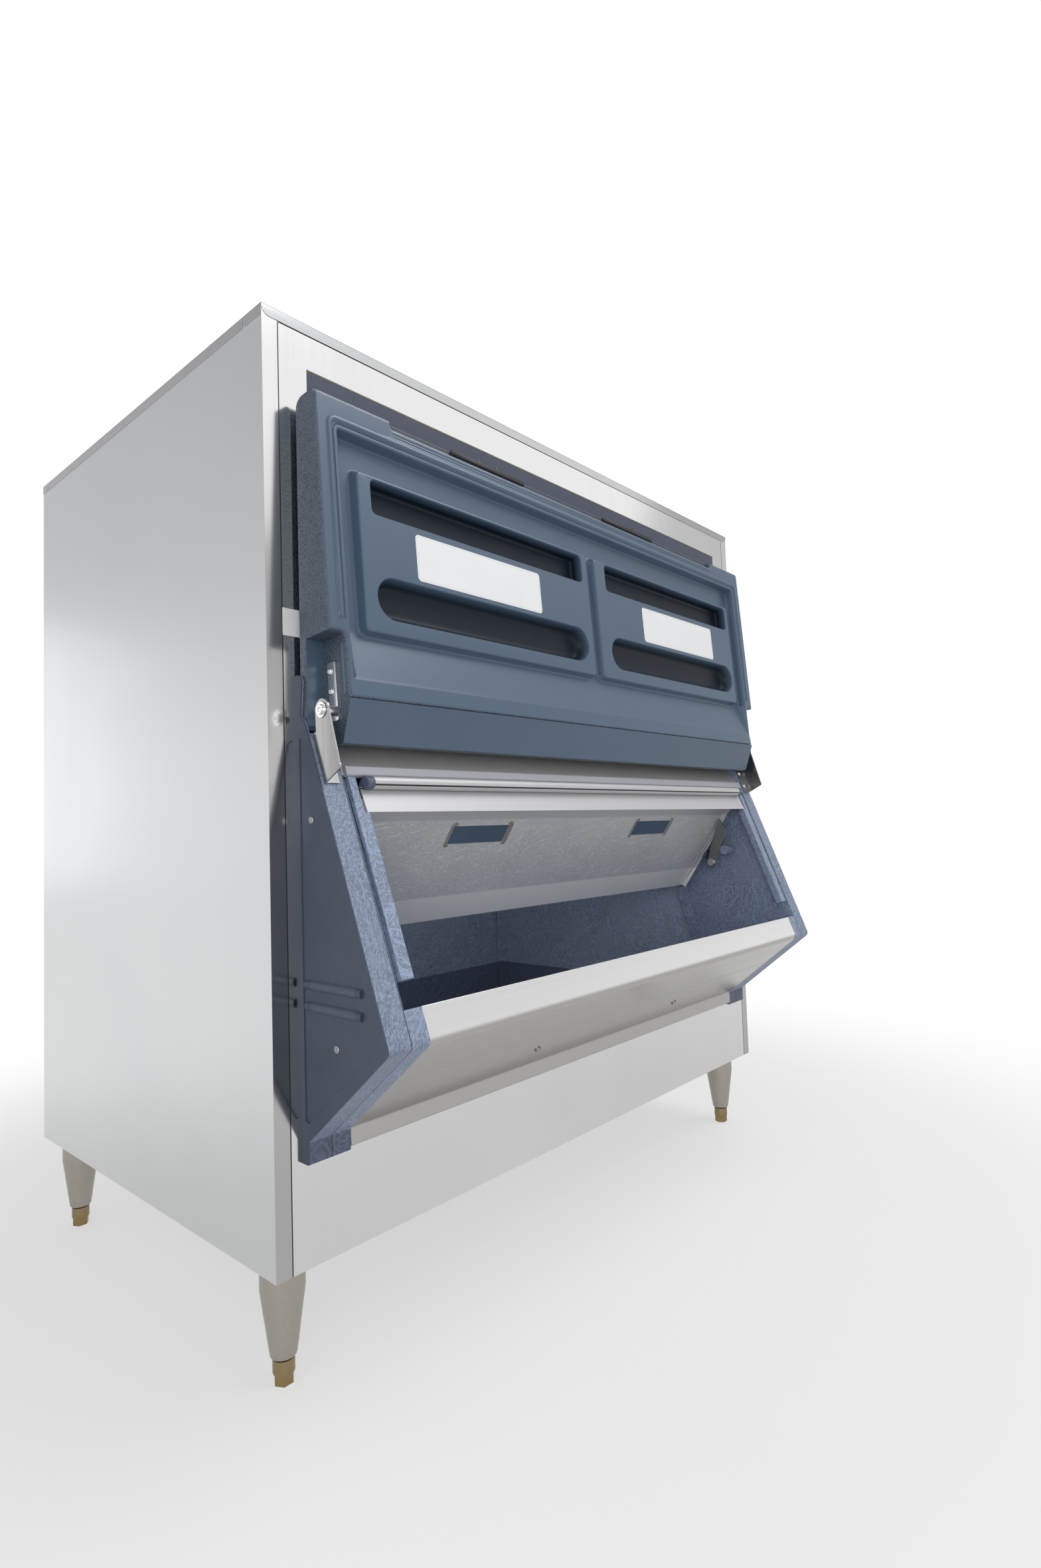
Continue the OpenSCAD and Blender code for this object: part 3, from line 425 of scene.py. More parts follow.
SLATE = (0.078, 0.127, 0.194)
door_face = moulded("door_face_plastic", SLATE, 1500.0, 1e-5, (0.29, 0.34), 0.03, 0.95)
# The recess finish also carries painted shade, which is added further down.
door_recess = moulded("door_recess_plastic_painted_shade", SLATE, 1500.0, 3e-5, (0.36, 0.44), 0.03, 0.95)
door_grain = moulded("door_grained_plastic", (0.112, 0.155, 0.215), 380.0, 9e-4, (0.34, 0.44), 0.05, 0.42, 0.3)
vinyl = moulded("edge_bar_vinyl", (0.41, 0.415, 0.46), 300.0, 1e-5, (0.3, 0.38), 0.02, 0.98)
rubber = moulded("trim_rubber", (0.012, 0.012, 0.014), 900.0, 5e-5, (0.5, 0.65))
bush = moulded("bush_nylon", (0.05, 0.05, 0.052), 900.0, 3e-5, (0.4, 0.5))
drain_white = moulded("drain_plastic", (0.6, 0.6, 0.58), 700.0, 3e-5, (0.4, 0.5))
foam = moulded("foam", (0.7, 0.6, 0.36), 500.0, 3e-4, (0.8, 0.95))
pane = moulded("pane_plastic", (0.085, 0.13, 0.185), 600.0, 4e-5, (0.22, 0.32), 0.08, 0.9)
sealant = moulded("window_sealant", (0.3, 0.29, 0.285), 500.0, 1.5e-4, (0.45, 0.6), 0.12, 0.85)
print("plain plastics: 10")

# %% Rubbed hopper plastic
RIM_JOINT, JOINT_HALF = 0.5357, 0.0007
PAINTED_SHADE_BELOW = 0.3095


def hopper_skin(name, outer_x, fine_colour, rubbed_colour, inner=1.0):
    """Fine grain outside the plane at outer_x on both sides of the bin, rubbed and scratched inside it. Within the
    joint in the mouth's rim, the colour is multiplied by inner, which paints light onto the inner faces, and below a
    set height it is darkened as painted shade."""
    plastic = Finish(name)
    pebble = plastic.use(PEBBLE, Scale=850.0, Roughen=0.8)
    scratch = plastic.use(SCRATCHES, Scale=0.5, Swirl=0.14, Cut=0.52)["Scratch"]
    smudges = plastic.use(SMUDGES, Scale=8.0, Specks=1100.0)
    outside = plastic.maths("MAXIMUM", *(plastic.band(way, outer_x, 0.0004) for way in (RIGHT, LEFT)))
    fine = plastic.ramp(pebble["Valley"], times(fine_colour, 1.25), times(fine_colour, 0.8), 0, 0.8)
    cloud = plastic.ramp(smudges["Smudge"], times(rubbed_colour, 0.86), times(rubbed_colour, 1.1))
    rubbed = plastic.blend(plastic.spread(scratch, 0, 0.75, 0, 1), cloud, times(rubbed_colour, 2.1))
    specks = plastic.spread(smudges["Speck"], 0, 0.15, 0, 1)
    flecked = plastic.blend(specks, rubbed, times(rubbed_colour, 1.7))
    across = plastic.add("SeparateXYZ", plastic.add("TexCoord").outputs["Object"])
    off = plastic.maths("SUBTRACT", plastic.maths("ABSOLUTE", across), RIM_JOINT)
    joint = plastic.maths("LESS_THAN", plastic.maths("ABSOLUTE", off), JOINT_HALF)
    lined = plastic.blend(plastic.maths("MULTIPLY", joint, 0.85), flecked, (0.012, 0.014, 0.02))
    # Inside the rim joint the colour is multiplied by inner: painted light on the inner faces, on top of the real
    # rubbing and scratches.
    worn_and_lit = plastic.blend(plastic.maths("LESS_THAN", off, -JOINT_HALF), lined, grey(inner), "MULTIPLY")
    # Below this height the colour is multiplied by a dark grey-blue: painted shade low down.
    painted_shade_low = plastic.band(DOWN, -PAINTED_SHADE_BELOW, 0.0015)
    colour = plastic.blend(outside, plastic.blend(painted_shade_low, worn_and_lit, (0.4, 0.42, 0.46), "MULTIPLY"), fine)
    grain = plastic.bump(pebble["Height"], 0.00022)
    normal = plastic.bump(scratch, 4e-5, Strength=0.6, Normal=grain)
    return plastic.end(colour, plastic.spread(smudges["Smudge"], 0.42, 0.56), normal)


outer_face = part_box("wall_right")[1].x - 0.0046
FINE, RUBBED = (0.05, 0.071, 0.111), (0.155, 0.19, 0.265)
# The walls and the tub are painted lighter inside, by 1.15 and 1.5: painted light.
hopper_blue = hopper_skin("hopper_speckled", outer_face, FINE, RUBBED, 1.15)
tub_blue = hopper_skin("hopper_floor_speckled", outer_face, FINE, RUBBED, 1.5)
guide_blue = hopper_skin("guide_speckled", outer_face, FINE, (0.06, 0.078, 0.12))
# The ribs are moulded with the wall but painted a lighter blue: painted light on their rounded tops.
rib_blue_painted_light = hopper_skin("rib_speckled_painted_light", 0.3, (0.075, 0.1, 0.155), (0.165, 0.205, 0.29))
liner_blue = hopper_skin("liner_speckled", 9.0, (0.06, 0.075, 0.12), (0.25, 0.29, 0.37))
print("outer faces start at", round(outer_face, 4))


# %% [markdown]
# The plate behind the door is the same family of plastic, smooth, with a fine joint near
# its left end, which is a line in the finish. Labels are bare white film with only a thin
# grey border, which follows each label's own UV map.

# %% Plate with a joint, label film and trim
PLATE_JOINT = -0.468


def jointed_plate():
    plastic = Finish("front_plate_plastic", Specular_IOR_Level=0.25)
    pebble = plastic.use(PEBBLE, Scale=1200.0, Roughen=0.6)
    after = plastic.band(RIGHT, PLATE_JOINT, 0.0002)
    before = plastic.band(LEFT, -PLATE_JOINT - 0.0008, 0.0002)
    tone = plastic.ramp(pebble["Valley"], (0.074, 0.09, 0.13), (0.066, 0.082, 0.12), 0, 0.8)
    colour = plastic.blend(plastic.maths("MULTIPLY", after, before), tone, (0.03, 0.035, 0.05))
    roughness = plastic.spread(pebble["Valley"], 0.34, 0.42, 0, 1)
    return plastic.end(colour, roughness, plastic.bump(pebble["Height"], 2e-5))


def label_film():
    film = Finish("label_film")
    smudge = film.use(SMUDGES, Scale=14.0)["Smudge"]
    reach = film.add("SeparateXYZ", film.add("TexCoord").outputs["UV"])
    paper = film.ramp(smudge, (0.87, 0.88, 0.89), (0.9, 0.91, 0.92))
    ends = (film.maths("GREATER_THAN", reach, 0.8), film.maths("LESS_THAN", reach, 0.9))
    line = film.maths("MULTIPLY", film.maths("MULTIPLY", *ends), 0.7)
    colour = film.blend(line, paper, (0.55, 0.56, 0.6))
    return film.end(colour, film.spread(smudge, 0.3, 0.4), film.bump(smudge, 3e-5))


def edged_trim():
    """Slate on its face, with a near-black band along its top for the dark rubber edge and the shadow of the gap
    there, partly painted shadow.
    """
    trim = Finish("trim_edge", Roughness=0.5)
    smudge = trim.use(SMUDGES, Scale=20.0)["Smudge"]
    face = trim.ramp(smudge, (0.05, 0.062, 0.09), (0.056, 0.07, 0.1))
    return trim.end(trim.blend(trim.band(UP, 1.2413, 0.0004), face, (0.01, 0.01, 0.012)))


plate_blue = jointed_plate()
film = label_film()
trim_edge = edged_trim()
print("plate, label and trim finishes: 3")

# %% [markdown]
# The CAD nodes have perfectly sharp edges, and no real edge catches light like that. For
# each visible node a copy is merged, its flat areas are joined into single faces, and a
# small bevel with area-weighted normals rounds what is left. The copy then replaces it.

# %% Copies of CAD nodes with rounded edges
def baked(piece):
    """The piece's modifiers applied to a mesh of its own."""
    bpy.context.view_layer.update()
    graph = bpy.context.evaluated_depsgraph_get()
    made = bpy.data.meshes.new_from_object(piece.evaluated_get(graph))
    piece.modifiers.clear()
    piece.data = made
    return piece


def placed(name, mesh, *finishes):
    """A new piece in the scene with its finishes."""
    piece = in_scene(name, mesh)
    mesh.materials.clear()
    for finish in finishes:
        mesh.materials.append(finish)
    return piece


def fitted(piece, node, stands_in=True):
    """A baked piece takes the body of a CAD node, and may stand in for it, which hides the node."""
    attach(piece, body_of[node])
    if stands_in:
        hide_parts(node)
    return piece


def form_of(*meshes):
    """Meshes taken up for editing."""
    form = bmesh.new()
    for mesh in meshes:
        form.from_mesh(mesh)
    return form


def mesh_of(form, name, smooth=True):
    """What was edited, as a mesh."""
    mesh = bpy.data.meshes.new(name)
    form.to_mesh(mesh)
    form.free()
    if smooth:
        mesh.shade_smooth()
    return mesh


def softened(node, finish, width, segments=2, angle=26):
    form = form_of(nodes[node].data)
    bmesh.ops.remove_doubles(form, verts=form.verts, dist=0.00002)
    bmesh.ops.dissolve_limit(form, angle_limit=math.radians(0.5), verts=form.verts, edges=form.edges)
    piece = placed("soft_" + node, mesh_of(form, node + "_form"), finish)
    bevel = piece.modifiers.new("edges", "BEVEL")
    bevel.width = width
    bevel.segments = segments
    bevel.limit_method = "ANGLE"
    bevel.angle_limit = math.radians(angle)
    bevel.use_clamp_overlap = True
    piece.modifiers.new("normals", "WEIGHTED_NORMAL").keep_sharp = True
    return fitted(baked(piece), node)


rounded_groups = (
    (steel_sides, 0.8, "side_panel_left side_panel_right"), (steel_sides, 0.4, "back_panel"),
    (steel_front, 0.8, "front_panel"), (steel_hopper_lit_and_shaded, 0.7, "hopper_front"),
    (steel_header, 0.6, "header_sheet"), (steel_gate, 0.5, "gate"),
    (hopper_blue, 2.6, "wall_left wall_right"), (tub_blue, 1.0, "hopper_liner"),
    (plate_blue, 0.4, "front_plate"), (guide_blue, 0.8, "gate_end_caps guide_left guide_right"),
    (steel_dark, 0.6, "pawl_left pawl_right"), (steel_bright, 0.6, "pawl_studs"),
    (steel_arm, 0.5, "arm_left arm_right"), (door_grain, 1.4, "door_outer_skin"),
    (steel_bright, 0.4, "door_bracket_left door_bracket_right"), (steel_head, 0.5, "hopper_screws"),
    (steel_bright, 0.7, "pivot_bolts"),
    (steel_foot, 0.6, "foot_front_left foot_front_right foot_rear_left foot_rear_right"),
    (steel_leg, 0.8, "leg_front_left leg_front_right leg_rear_left leg_rear_right"),
    (drain_white, 0.6, "drain_fitting"), (steel_sides, 0.4, "bottom_panel"), (pane, 0.2, "gate_panes"))
rounded = {node: softened(node, finish, width * MM)
           for finish, width, names in rounded_groups for node in names.split()}
for node in ("side_panel_left", "side_panel_right"):
    rounded[node].data.materials.append(steel_flange_painted_reflection)
    for polygon in rounded[node].data.polygons:
        polygon.material_index = 1 if polygon.normal.y < -0.3 else 0
rounded["door_outer_skin"].data.materials.append(door_face)
for polygon in rounded["door_outer_skin"].data.polygons:
    polygon.material_index = 1 if polygon.normal.y < -0.25 and abs(polygon.normal.x) < 0.6 else 0
print("rounded copies:", len(rounded))

# %% [markdown]
# The inside of the door is one moulding: a border, a sunken field with a ramp at its
# foot, two raised panels, and two hand recesses in each. All are rounded rectangles, so
# the skin is built from rings. A ring is a loop across the door with a depth into it.
# Rings of one wall are bridged into rounded steps, and the flats between are triangulated.

# %% Loops of right angles with rounded corners
def with_cuts(loop, cuts):
    """Extra points where upright sides cross the given heights, so a ramp can bend there."""
    points = []
    for here, onward in zip(loop, loop[1:] + loop[:1]):
        points.append(here)
        if abs(here[0] - onward[0]) < 0.01:
            low, high = sorted((here[1], onward[1]))
            crossed = [(here[0], u) for u in cuts if low < u < high]
            points += sorted(crossed, key=lambda p: abs(p[1] - here[1]))
    return points


def inset_loop(corners, inset, steps=6, cuts=()):
    """Points round a polygon of right angles, given as (x, u, radius) in turn, moved inwards."""
    points = []
    for i, (x, u, radius) in enumerate(corners):
        here = Vector((x, u))
        back = (here - Vector(corners[i - 1][:2])).normalized()
        onward = (Vector(corners[(i + 1) % len(corners)][:2]) - here).normalized()
        turn = back.x * onward.y - back.y * onward.x
        bend = max(0.15, radius - inset * turn)
        corner = here + inset * Vector((-back.y - onward.y, back.x + onward.x))
        centre = corner + bend * (onward - back)
        for k in range(steps + 1):
            t = math.pi / 2 * k / steps
            points.append(tuple(centre + bend * (math.sin(t) * back - math.cos(t) * onward)))
    return with_cuts(points, cuts)


def rectangle(x0, x1, u0, u1, radius):
    return [(x0, u0, radius), (x1, u0, radius), (x1, u1, radius), (x0, u1, radius)]


print("points in a rounded rectangle:", len(inset_loop(rectangle(0, 10, 0, 5, 1), 0)))


# %% A skin made of rings
class Skin:
    """Points are (x, u, depth) in millimetres: across the door, up it, and into it."""

    def __init__(self):
        self.points, self.backs, self.faces, self.marks = [], [], [], []

    def ring(self, loop, depth, back=None):
        """Adds a loop, each point at depth(x, u), its back a wall thickness behind it."""
        start = len(self.points)
        for x, u in loop:
            d = depth(x, u)
            self.points.append((x, u, d))
            self.backs.append((x, u, back if back is not None else d + 2.6))
        return list(range(start, len(self.points)))

    def bridge(self, outer, inner, mark=0):
        for j in range(len(outer)):
            k = (j + 1) % len(outer)
            self.faces.append((outer[j], outer[k], inner[k], inner[j]))
            self.marks.append(mark)

    def wall(self, corners, profile, depth_of, cuts=(), mark=0):
        """Rings at each (inset, share) of the profile, with depth_of(x, u, share)."""
        rings = []
        for inset, share in profile:
            loop = inset_loop(corners, inset, cuts=cuts)
            rings.append(self.ring(loop, lambda x, u: depth_of(x, u, share)))
        for outer, inner in zip(rings, rings[1:]):
            self.bridge(outer, inner, mark)
        return rings[0], rings[-1]

    def fill(self, outer, holes, depth, creases=(), mark=0):
        """Triangles between a loop and the holes in it. Creases are (x0, x1, u) lines to bend along."""
        flat, known, edges = [], [], []
        for loop in [outer, *holes]:
            start = len(flat)
            flat += [Vector(self.points[i][:2]) for i in loop]
            known += loop
            edges += [(start + j, start + (j + 1) % len(loop)) for j in range(len(loop))]
        for x0, x1, u in creases:
            edges.append((len(flat), len(flat) + 1))
            flat += [Vector((x0, u)), Vector((x1, u))]
            known += self.ring([(x0, u), (x1, u)], depth)
        made, _, triangles, sources, _, _ = delaunay_2d_cdt(flat, edges, [], 1, 0.0001)
        index = []
        for point, source in zip(made, sources):
            index.append(known[source[0]] if source else self.ring([tuple(point)], depth)[0])
        rims = [[self.points[i][:2] for i in hole] for hole in holes]
        for a, b, c in triangles:
            middle = (made[a] + made[b] + made[c]) / 3
            if not any(inside(middle, rim) for rim in rims):
                upright = (made[b] - made[a]).cross(made[c] - made[a]) > 0
                self.faces.append((index[a], index[b], index[c]) if upright else (index[a], index[c], index[b]))
                self.marks.append(mark)


def inside(point, loop):
    """Whether a point lies in a loop, by counting the sides that a ray crosses."""
    found = False
    for (x0, u0), (x1, u1) in zip(loop, loop[1:] + loop[:1]):
        if (u0 > point[1]) != (u1 > point[1]) and point[0] < x0 + (point[1] - u0) * (x1 - x0) / (u1 - u0):
            found = not found
    return found


print("middle is inside:", inside((5, 2), inset_loop(rectangle(0, 10, 0, 5, 1), 0)))

# %% [markdown]
# The open door leans back by 4.2 degrees about its pins. A helper turns (x, u, depth) on
# the door into a place in the scene. The depth of the border and of the field are small
# functions of the height u: the border flares forwards at its foot, and the field ramps.

# %% Places and depths on the door
PIVOT_Y, PIVOT_Z = -351.0781, 837.442
LEAN = math.radians(4.2)
RIM = -27.5


def on_door(x, u, depth):
    y = RIM + depth
    turned = (PIVOT_Y + y * math.cos(LEAN) + u * math.sin(LEAN), PIVOT_Z - y * math.sin(LEAN) + u * math.cos(LEAN))
    return Vector((x, *turned)) * MM


def soft_step(value, width):
    """Zero below, the value above, with the bend between them rounded over the width."""
    if value <= -width:
        return 0.0
    return value if value >= width else (value + width) ** 2 / (4 * width)


def border_depth(u):
    return -2 * soft_step(35 - u, 1.5) / 23


def field_depth(u):
    return 17 - 17 / 69 * soft_step(104 - u, 4) + 17 / 69 * soft_step(35 - u, 2)


print("ramp:", [round(field_depth(u), 2) for u in (35, 50, 80, 104, 120)])

# %% The door's inner skin
skin = Skin()
door_edge = [(-541, 12, 2.5), (541, 12, 2.5), (541, 95, 6), (566, 95, 3), (566, 409, 6), (441.5, 409, 3),
             (441.5, 398, 3), (-441.5, 398, 3), (-441.5, 409, 3), (-566, 409, 6), (-566, 95, 3), (-541, 95, 6)]
edge_rings = []
for inset, depth in ((-0.12, 6.2), (-0.12, 5), (0.25, 3.2), (1.2, 1.5), (2.6, 0.45), (4, 0.07), (5.2, 0)):
    loop = inset_loop(door_edge, inset, cuts=(33.5, 35, 36.5))
    edge_rings.append(skin.ring(loop, lambda x, u: depth + border_depth(u), 6.3))
for number, (outer, inner) in enumerate(zip(edge_rings, edge_rings[1:])):
    skin.bridge(outer, inner, 1 if number < 4 else 0)

field = rectangle(-533, 533, 35, 365.6, 4)
ramp_cuts = (99, 101.5, 104, 106.5, 109)
field_profile = [(-2.2, 0), (-0.9, 0.025), (0, 0.1), (1.3, 0.4), (2.4, 0.75), (3.6, 0.94), (5.5, 1)]
field_rim, field_floor = skin.wall(field, field_profile,
                                   lambda x, u, share: border_depth(u) + share * field_depth(u), ramp_cuts)
groove_rims = []
for u in (386.2, 389.8):
    groove = rectangle(-440, 440, u - 0.7, u + 0.7, 0.5)
    rim, floor = skin.wall(groove, [(0, 0), (0.5, 0.7)], lambda x, u, share: share)
    skin.fill(floor, [], None)
    groove_rims.append(rim)
trench = [(-541.2, 112, 0.8), (-538.6, 112, 0.8), (-538.6, 370.2, 9), (538.6, 370.2, 9), (538.6, 112, 0.8),
          (541.2, 112, 0.8), (541.2, 372.8, 11), (-541.2, 372.8, 11)]
rim, floor = skin.wall(trench, [(0, 0), (0.35, 0.25), (0.9, 1.2), (1.1, 1.3)], lambda x, u, share: share)
skin.fill(floor, [], None)
groove_rims.append(rim)
low_crease = [(-534, 534, 33.5)]
skin.fill(edge_rings[-1], [field_rim, *groove_rims], lambda x, u: border_depth(u), low_crease)

panel_profile = [(-7, 0), (-5.4, 0.02), (-4, 0.1), (-2.8, 0.3), (0, 0.84), (0.5, 0.93), (1.4, 0.985), (2.8, 1)]
panel_feet, recess_count = [], 0
for x0, x1, recess in ((-504, -11, (-482, -27)), (11, 504, (43, 492))):
    foot, top = skin.wall(rectangle(x0, x1, 104, 320, 6), panel_profile,
                          lambda x, u, share: field_depth(u) + share * (4 - field_depth(u)))
    panel_feet.append(foot)
    rims = []
    upper = [(-1.4, 4), (-0.6, 4.25), (0.1, 5), (0.5, 7), (2, 21), (3, 24), (4.6, 25.6), (7.2, 26)]
    lower = [(-1.6, 4), (-0.6, 4.3), (0.2, 5.2), (0.9, 8), (2.6, 14), (5.6, 20), (9.4, 24), (14, 25.6), (19, 26)]
    for low_u, high_u, bend, profile in ((267, 315, 8, upper), (125, 183, 28.9, lower)):
        rim, floor = skin.wall(rectangle(*recess, low_u, high_u, bend), profile, lambda x, u, share: share, mark=2)
        skin.fill(floor, [], None, mark=2)
        rims.append(rim)
        recess_count += 1
    skin.fill(top, rims, None)
field_creases = [(x0, x1, u) for u in ramp_cuts for x0, x1 in ((-526, -513), (-3, 3), (513, 526))]
field_creases += [(-526, 526, 42), (-526, 526, 90)]
skin.fill(field_floor, panel_feet, lambda x, u: field_depth(u), field_creases)
print("recesses:", recess_count, "faces:", len(skin.faces))


# %% [markdown]
# The recesses get painted shade: their colour darkens from the rim towards the floor, where shade falls. The finish
# does that with the same band group, turned along the depth of the door and laid between the plain colour and a dark
# one.

# %% Painted shade in the recess floors
def painted_shade_inwards(material, start, depth, tint):
    tree = material.node_tree
    shader = tree.nodes["Principled BSDF"]
    plain = shader.inputs["Base Color"].links[0].from_socket
    inwards = (on_door(0, 0, 1) - on_door(0, 0, 0)) / MM
    rim = on_door(0, 0, start).dot(inwards)
    band = add(tree, "Group", node_tree=BAND, Along=inwards, Start=rim, Width=depth * MM)
    shader.inputs["Specular IOR Level"].default_value = 0.2
    feed(tree, shader.inputs["Base Color"], blend(tree, band, plain, tint, "MULTIPLY"))


PAINTED_SHADE_OVER = 14
# Painted shade: the recess colour is multiplied towards a dark tint from 5 mm deep inwards.
painted_shade_inwards(door_recess, 5, PAINTED_SHADE_OVER, (0.1, 0.12, 0.14))
print("recess finish darkens over", PAINTED_SHADE_OVER, "mm")


# %% The skin as a closed mesh
def skin_mesh(name, skin, edge):
    count = len(skin.points)
    mesh = bpy.data.meshes.new(name)
    behind = [tuple(reversed([i + count for i in face])) for face in skin.faces]
    strip = [(edge[j] + count, edge[(j + 1) % len(edge)] + count, edge[(j + 1) % len(edge)], edge[j])
             for j in range(len(edge))]
    mesh.from_pydata([on_door(*p) for p in skin.points + skin.backs], [], skin.faces + behind + strip)
    for polygon, mark in zip(mesh.polygons, skin.marks + [0] * len(behind) + [1] * len(strip)):
        polygon.material_index = mark
    mesh.shade_smooth()
    return mesh


def finished(piece):
    """Normals weighted by area, so large flats stay flat beside their rounded edges."""
    piece.modifiers.new("normals", "WEIGHTED_NORMAL").keep_sharp = True
    return baked(piece)


inner = skin_mesh("door_inner_form", skin, edge_rings[0])
marks = [p.material_index for p in inner.polygons]
inner_skin = placed("door_inner_moulding", inner, door_face, door_grain, door_recess)
for polygon, mark in zip(inner.polygons, marks):
    polygon.material_index = mark
fitted(finished(inner_skin), "door_inner_skin")
print("door inner skin:", len(inner_skin.data.polygons), "faces")

# %% [markdown]
# The seal bead, the ribs and the sealant are all round strands along a path, which is
# what Geometry Nodes sweep best. One tree turns a path into a tube: it spaces points
# evenly, sets the radius from a thickness kept on the path, lets it wobble, and closes
# the ends. Each strand only brings its own path and sizes.

# %% A tree that sweeps a strand along a path
def new_tree(name, **inputs):
    """A geometry tree with named inputs, each given as its kind, or as its kind and default."""
    tree = bpy.data.node_groups.new(name, "GeometryNodeTree")
    for label, given in inputs.items():
        kind, *default = given if isinstance(given, tuple) else (given,)
        socket = tree.interface.new_socket(label, in_out="INPUT", socket_type="NodeSocket" + kind)
        if default:
            socket.default_value = default[0]
    return tree, add(tree, "NodeGroupInput").outputs


def dressed_out(tree, label, form, finish):
    """Realizes what a tree made, gives it its finish and puts it out."""
    real = add(tree, "GeometryNodeRealizeInstances", form)
    tree.interface.new_socket(label, in_out="OUTPUT", socket_type="NodeSocketGeometry")
    add(tree, "NodeGroupOutput", add(tree, "GeometryNodeSetMaterial", real, Material=finish))
    print("tree:", tree.name)
    return tree


def strand_tree():
    tree, given = new_tree("strand_along_path", Path="Geometry", Radius=("Float", 0.005), Spacing=("Float", 0.004),
                           Wobble=("Float", 0.0), Around=("Int", 16), Finish="Material")
    curve = add(tree, "GeometryNodeMeshToCurve", given["Path"])
    spaced = add(tree, "GeometryNodeResampleCurve", curve, mode="LENGTH", Length=given["Spacing"])
    thick = add(tree, "GeometryNodeInputNamedAttribute", data_type="FLOAT", Name="thickness")
    swing = span_of(tree, add(tree, "TexNoise", Scale=140.0, Detail=2.0), 0.3, 0.7, -1.0, 1.0)
    uneven = maths(tree, "MULTIPLY_ADD", swing, given["Wobble"], 1.0)
    share = maths(tree, "MULTIPLY", uneven, thick.outputs["Attribute"])
    radius = maths(tree, "MULTIPLY", share, given["Radius"])
    sized = add(tree, "GeometryNodeSetCurveRadius", spaced, Radius=radius)
    ring = add(tree, "GeometryNodeCurvePrimitiveCircle", Resolution=given["Around"], Radius=1.0)
    sweep = add(tree, "GeometryNodeCurveToMesh", sized, ring, Fill_Caps=True)
    if "Scale" in sweep.inputs:
        feed(tree, sweep.inputs["Scale"], radius)
    return dressed_out(tree, "Strand", add(tree, "GeometryNodeSetShadeSmooth", sweep), given["Finish"])


STRAND = strand_tree()


def run_tree(piece, tree, **values):
    """Adds the tree, sets its inputs by their identifiers, and bakes the result."""
    modifier = piece.modifiers.new("tree", "NODES")
    modifier.node_group = tree
    for item in tree.interface.items_tree:
        if item.item_type == "SOCKET" and item.in_out == "INPUT" and item.name in values:
            modifier[item.identifier] = values[item.name]
    return baked(piece)


def strand(name, paths, node, finish, radius, spacing=0.004, wobble=0.0, around=16, press=None):
    """A tube along each path, beside a CAD node. Ends narrow over one radius, so that they are round."""
    mesh = bpy.data.meshes.new(name)
    points, edges, thickness = [], [], []
    for path in paths:
        begin, finish_at = path[0], path[-1]
        first, last = (path[1] - begin).normalized(), (path[-2] - finish_at).normalized()
        caps = [(0.02, 0.12), (0.13, 0.5), (0.4, 0.8), (1.0, 1.0)]
        line = [(begin + first * radius * at, wide) for at, wide in caps]
        line += [(p, 1.0) for p in path[1:-1]]
        line += [(finish_at + last * radius * at, wide) for at, wide in reversed(caps)]
        edges += [(len(points) + i, len(points) + i + 1) for i in range(len(line) - 1)]
        points += [p for p, _ in line]
        thickness += [wide for _, wide in line]
    mesh.from_pydata(points, edges, [])
    mesh.attributes.new("thickness", "FLOAT", "POINT").data.foreach_set("value", thickness)
    piece = placed(name, mesh, finish)
    run_tree(piece, STRAND, Radius=radius, Spacing=spacing, Wobble=wobble, Around=around, Finish=finish)
    form = form_of(piece.data)
    for vert in form.verts if press else ():
        vert.co = press(vert.co)
    bmesh.ops.recalc_face_normals(form, faces=form.faces)
    form.to_mesh(piece.data)
    form.free()
    piece.data.shade_smooth()
    return fitted(piece, node, False)


# %% Bead, pocket ribs and wall ribs
sides = (-1, 1)


def bend_between(a, b, c, radius, steps=6):
    """Points of an arc that rounds the corner b of the path a, b, c."""
    back, onward = (a - b).normalized(), (c - b).normalized()
    half = back.angle(onward) / 2
    centre = b + (back + onward).normalized() * radius / math.sin(half)
    start = b + back * radius / math.tan(half) - centre
    end = b + onward * radius / math.tan(half) - centre
    return [centre + start.lerp(end, k / steps).normalized() * radius for k in range(steps + 1)]


bead_depth = 5.64 - 2.6
feet = [on_door(x, 110, bead_depth) for x in (-546.25, 546.25)]
tops = [on_door(x, 377.75, bead_depth) for x in (-546.25, 546.25)]
bead_path = [feet[0], *bend_between(feet[0], tops[0], tops[1], 0.012),
             *bend_between(tops[0], tops[1], feet[1], 0.012), feet[1]]
bead = strand("seal_bead", [bead_path], "door_inner_skin", door_face, 0.00564, 0.003)
rib_paths = [[on_door(side * 540.3, u, 9.5) for u in (16, 50, 88)] for side in sides]
strand("pocket_ribs", rib_paths, "door_inner_skin", door_face, 0.0022, 0.003)
wall_ribs = [[Vector((side * 566.6, y + FRONT_Y, z)) * MM for y in (-18, -60, -121)]
             for side in sides for z in (474.3, 500.3)]
strand("wall_ribs", wall_ribs, "wall_left", rib_blue_painted_light, 0.0064, 0.004, 0.0, 20)
print("bead:", len(bead.data.polygons), "faces")

# %% [markdown]
# A screw head is turned on a lathe and then gets a cross in its crown. It is modelled
# once, as rings of points whose height is a dome with the cross sunk into it. Another
# tree then puts a copy at each marked point, turned to face along that point's arrow.

# %% One screw head with a cross recess
def clamped(value):
    return max(0.0, min(1.0, value))


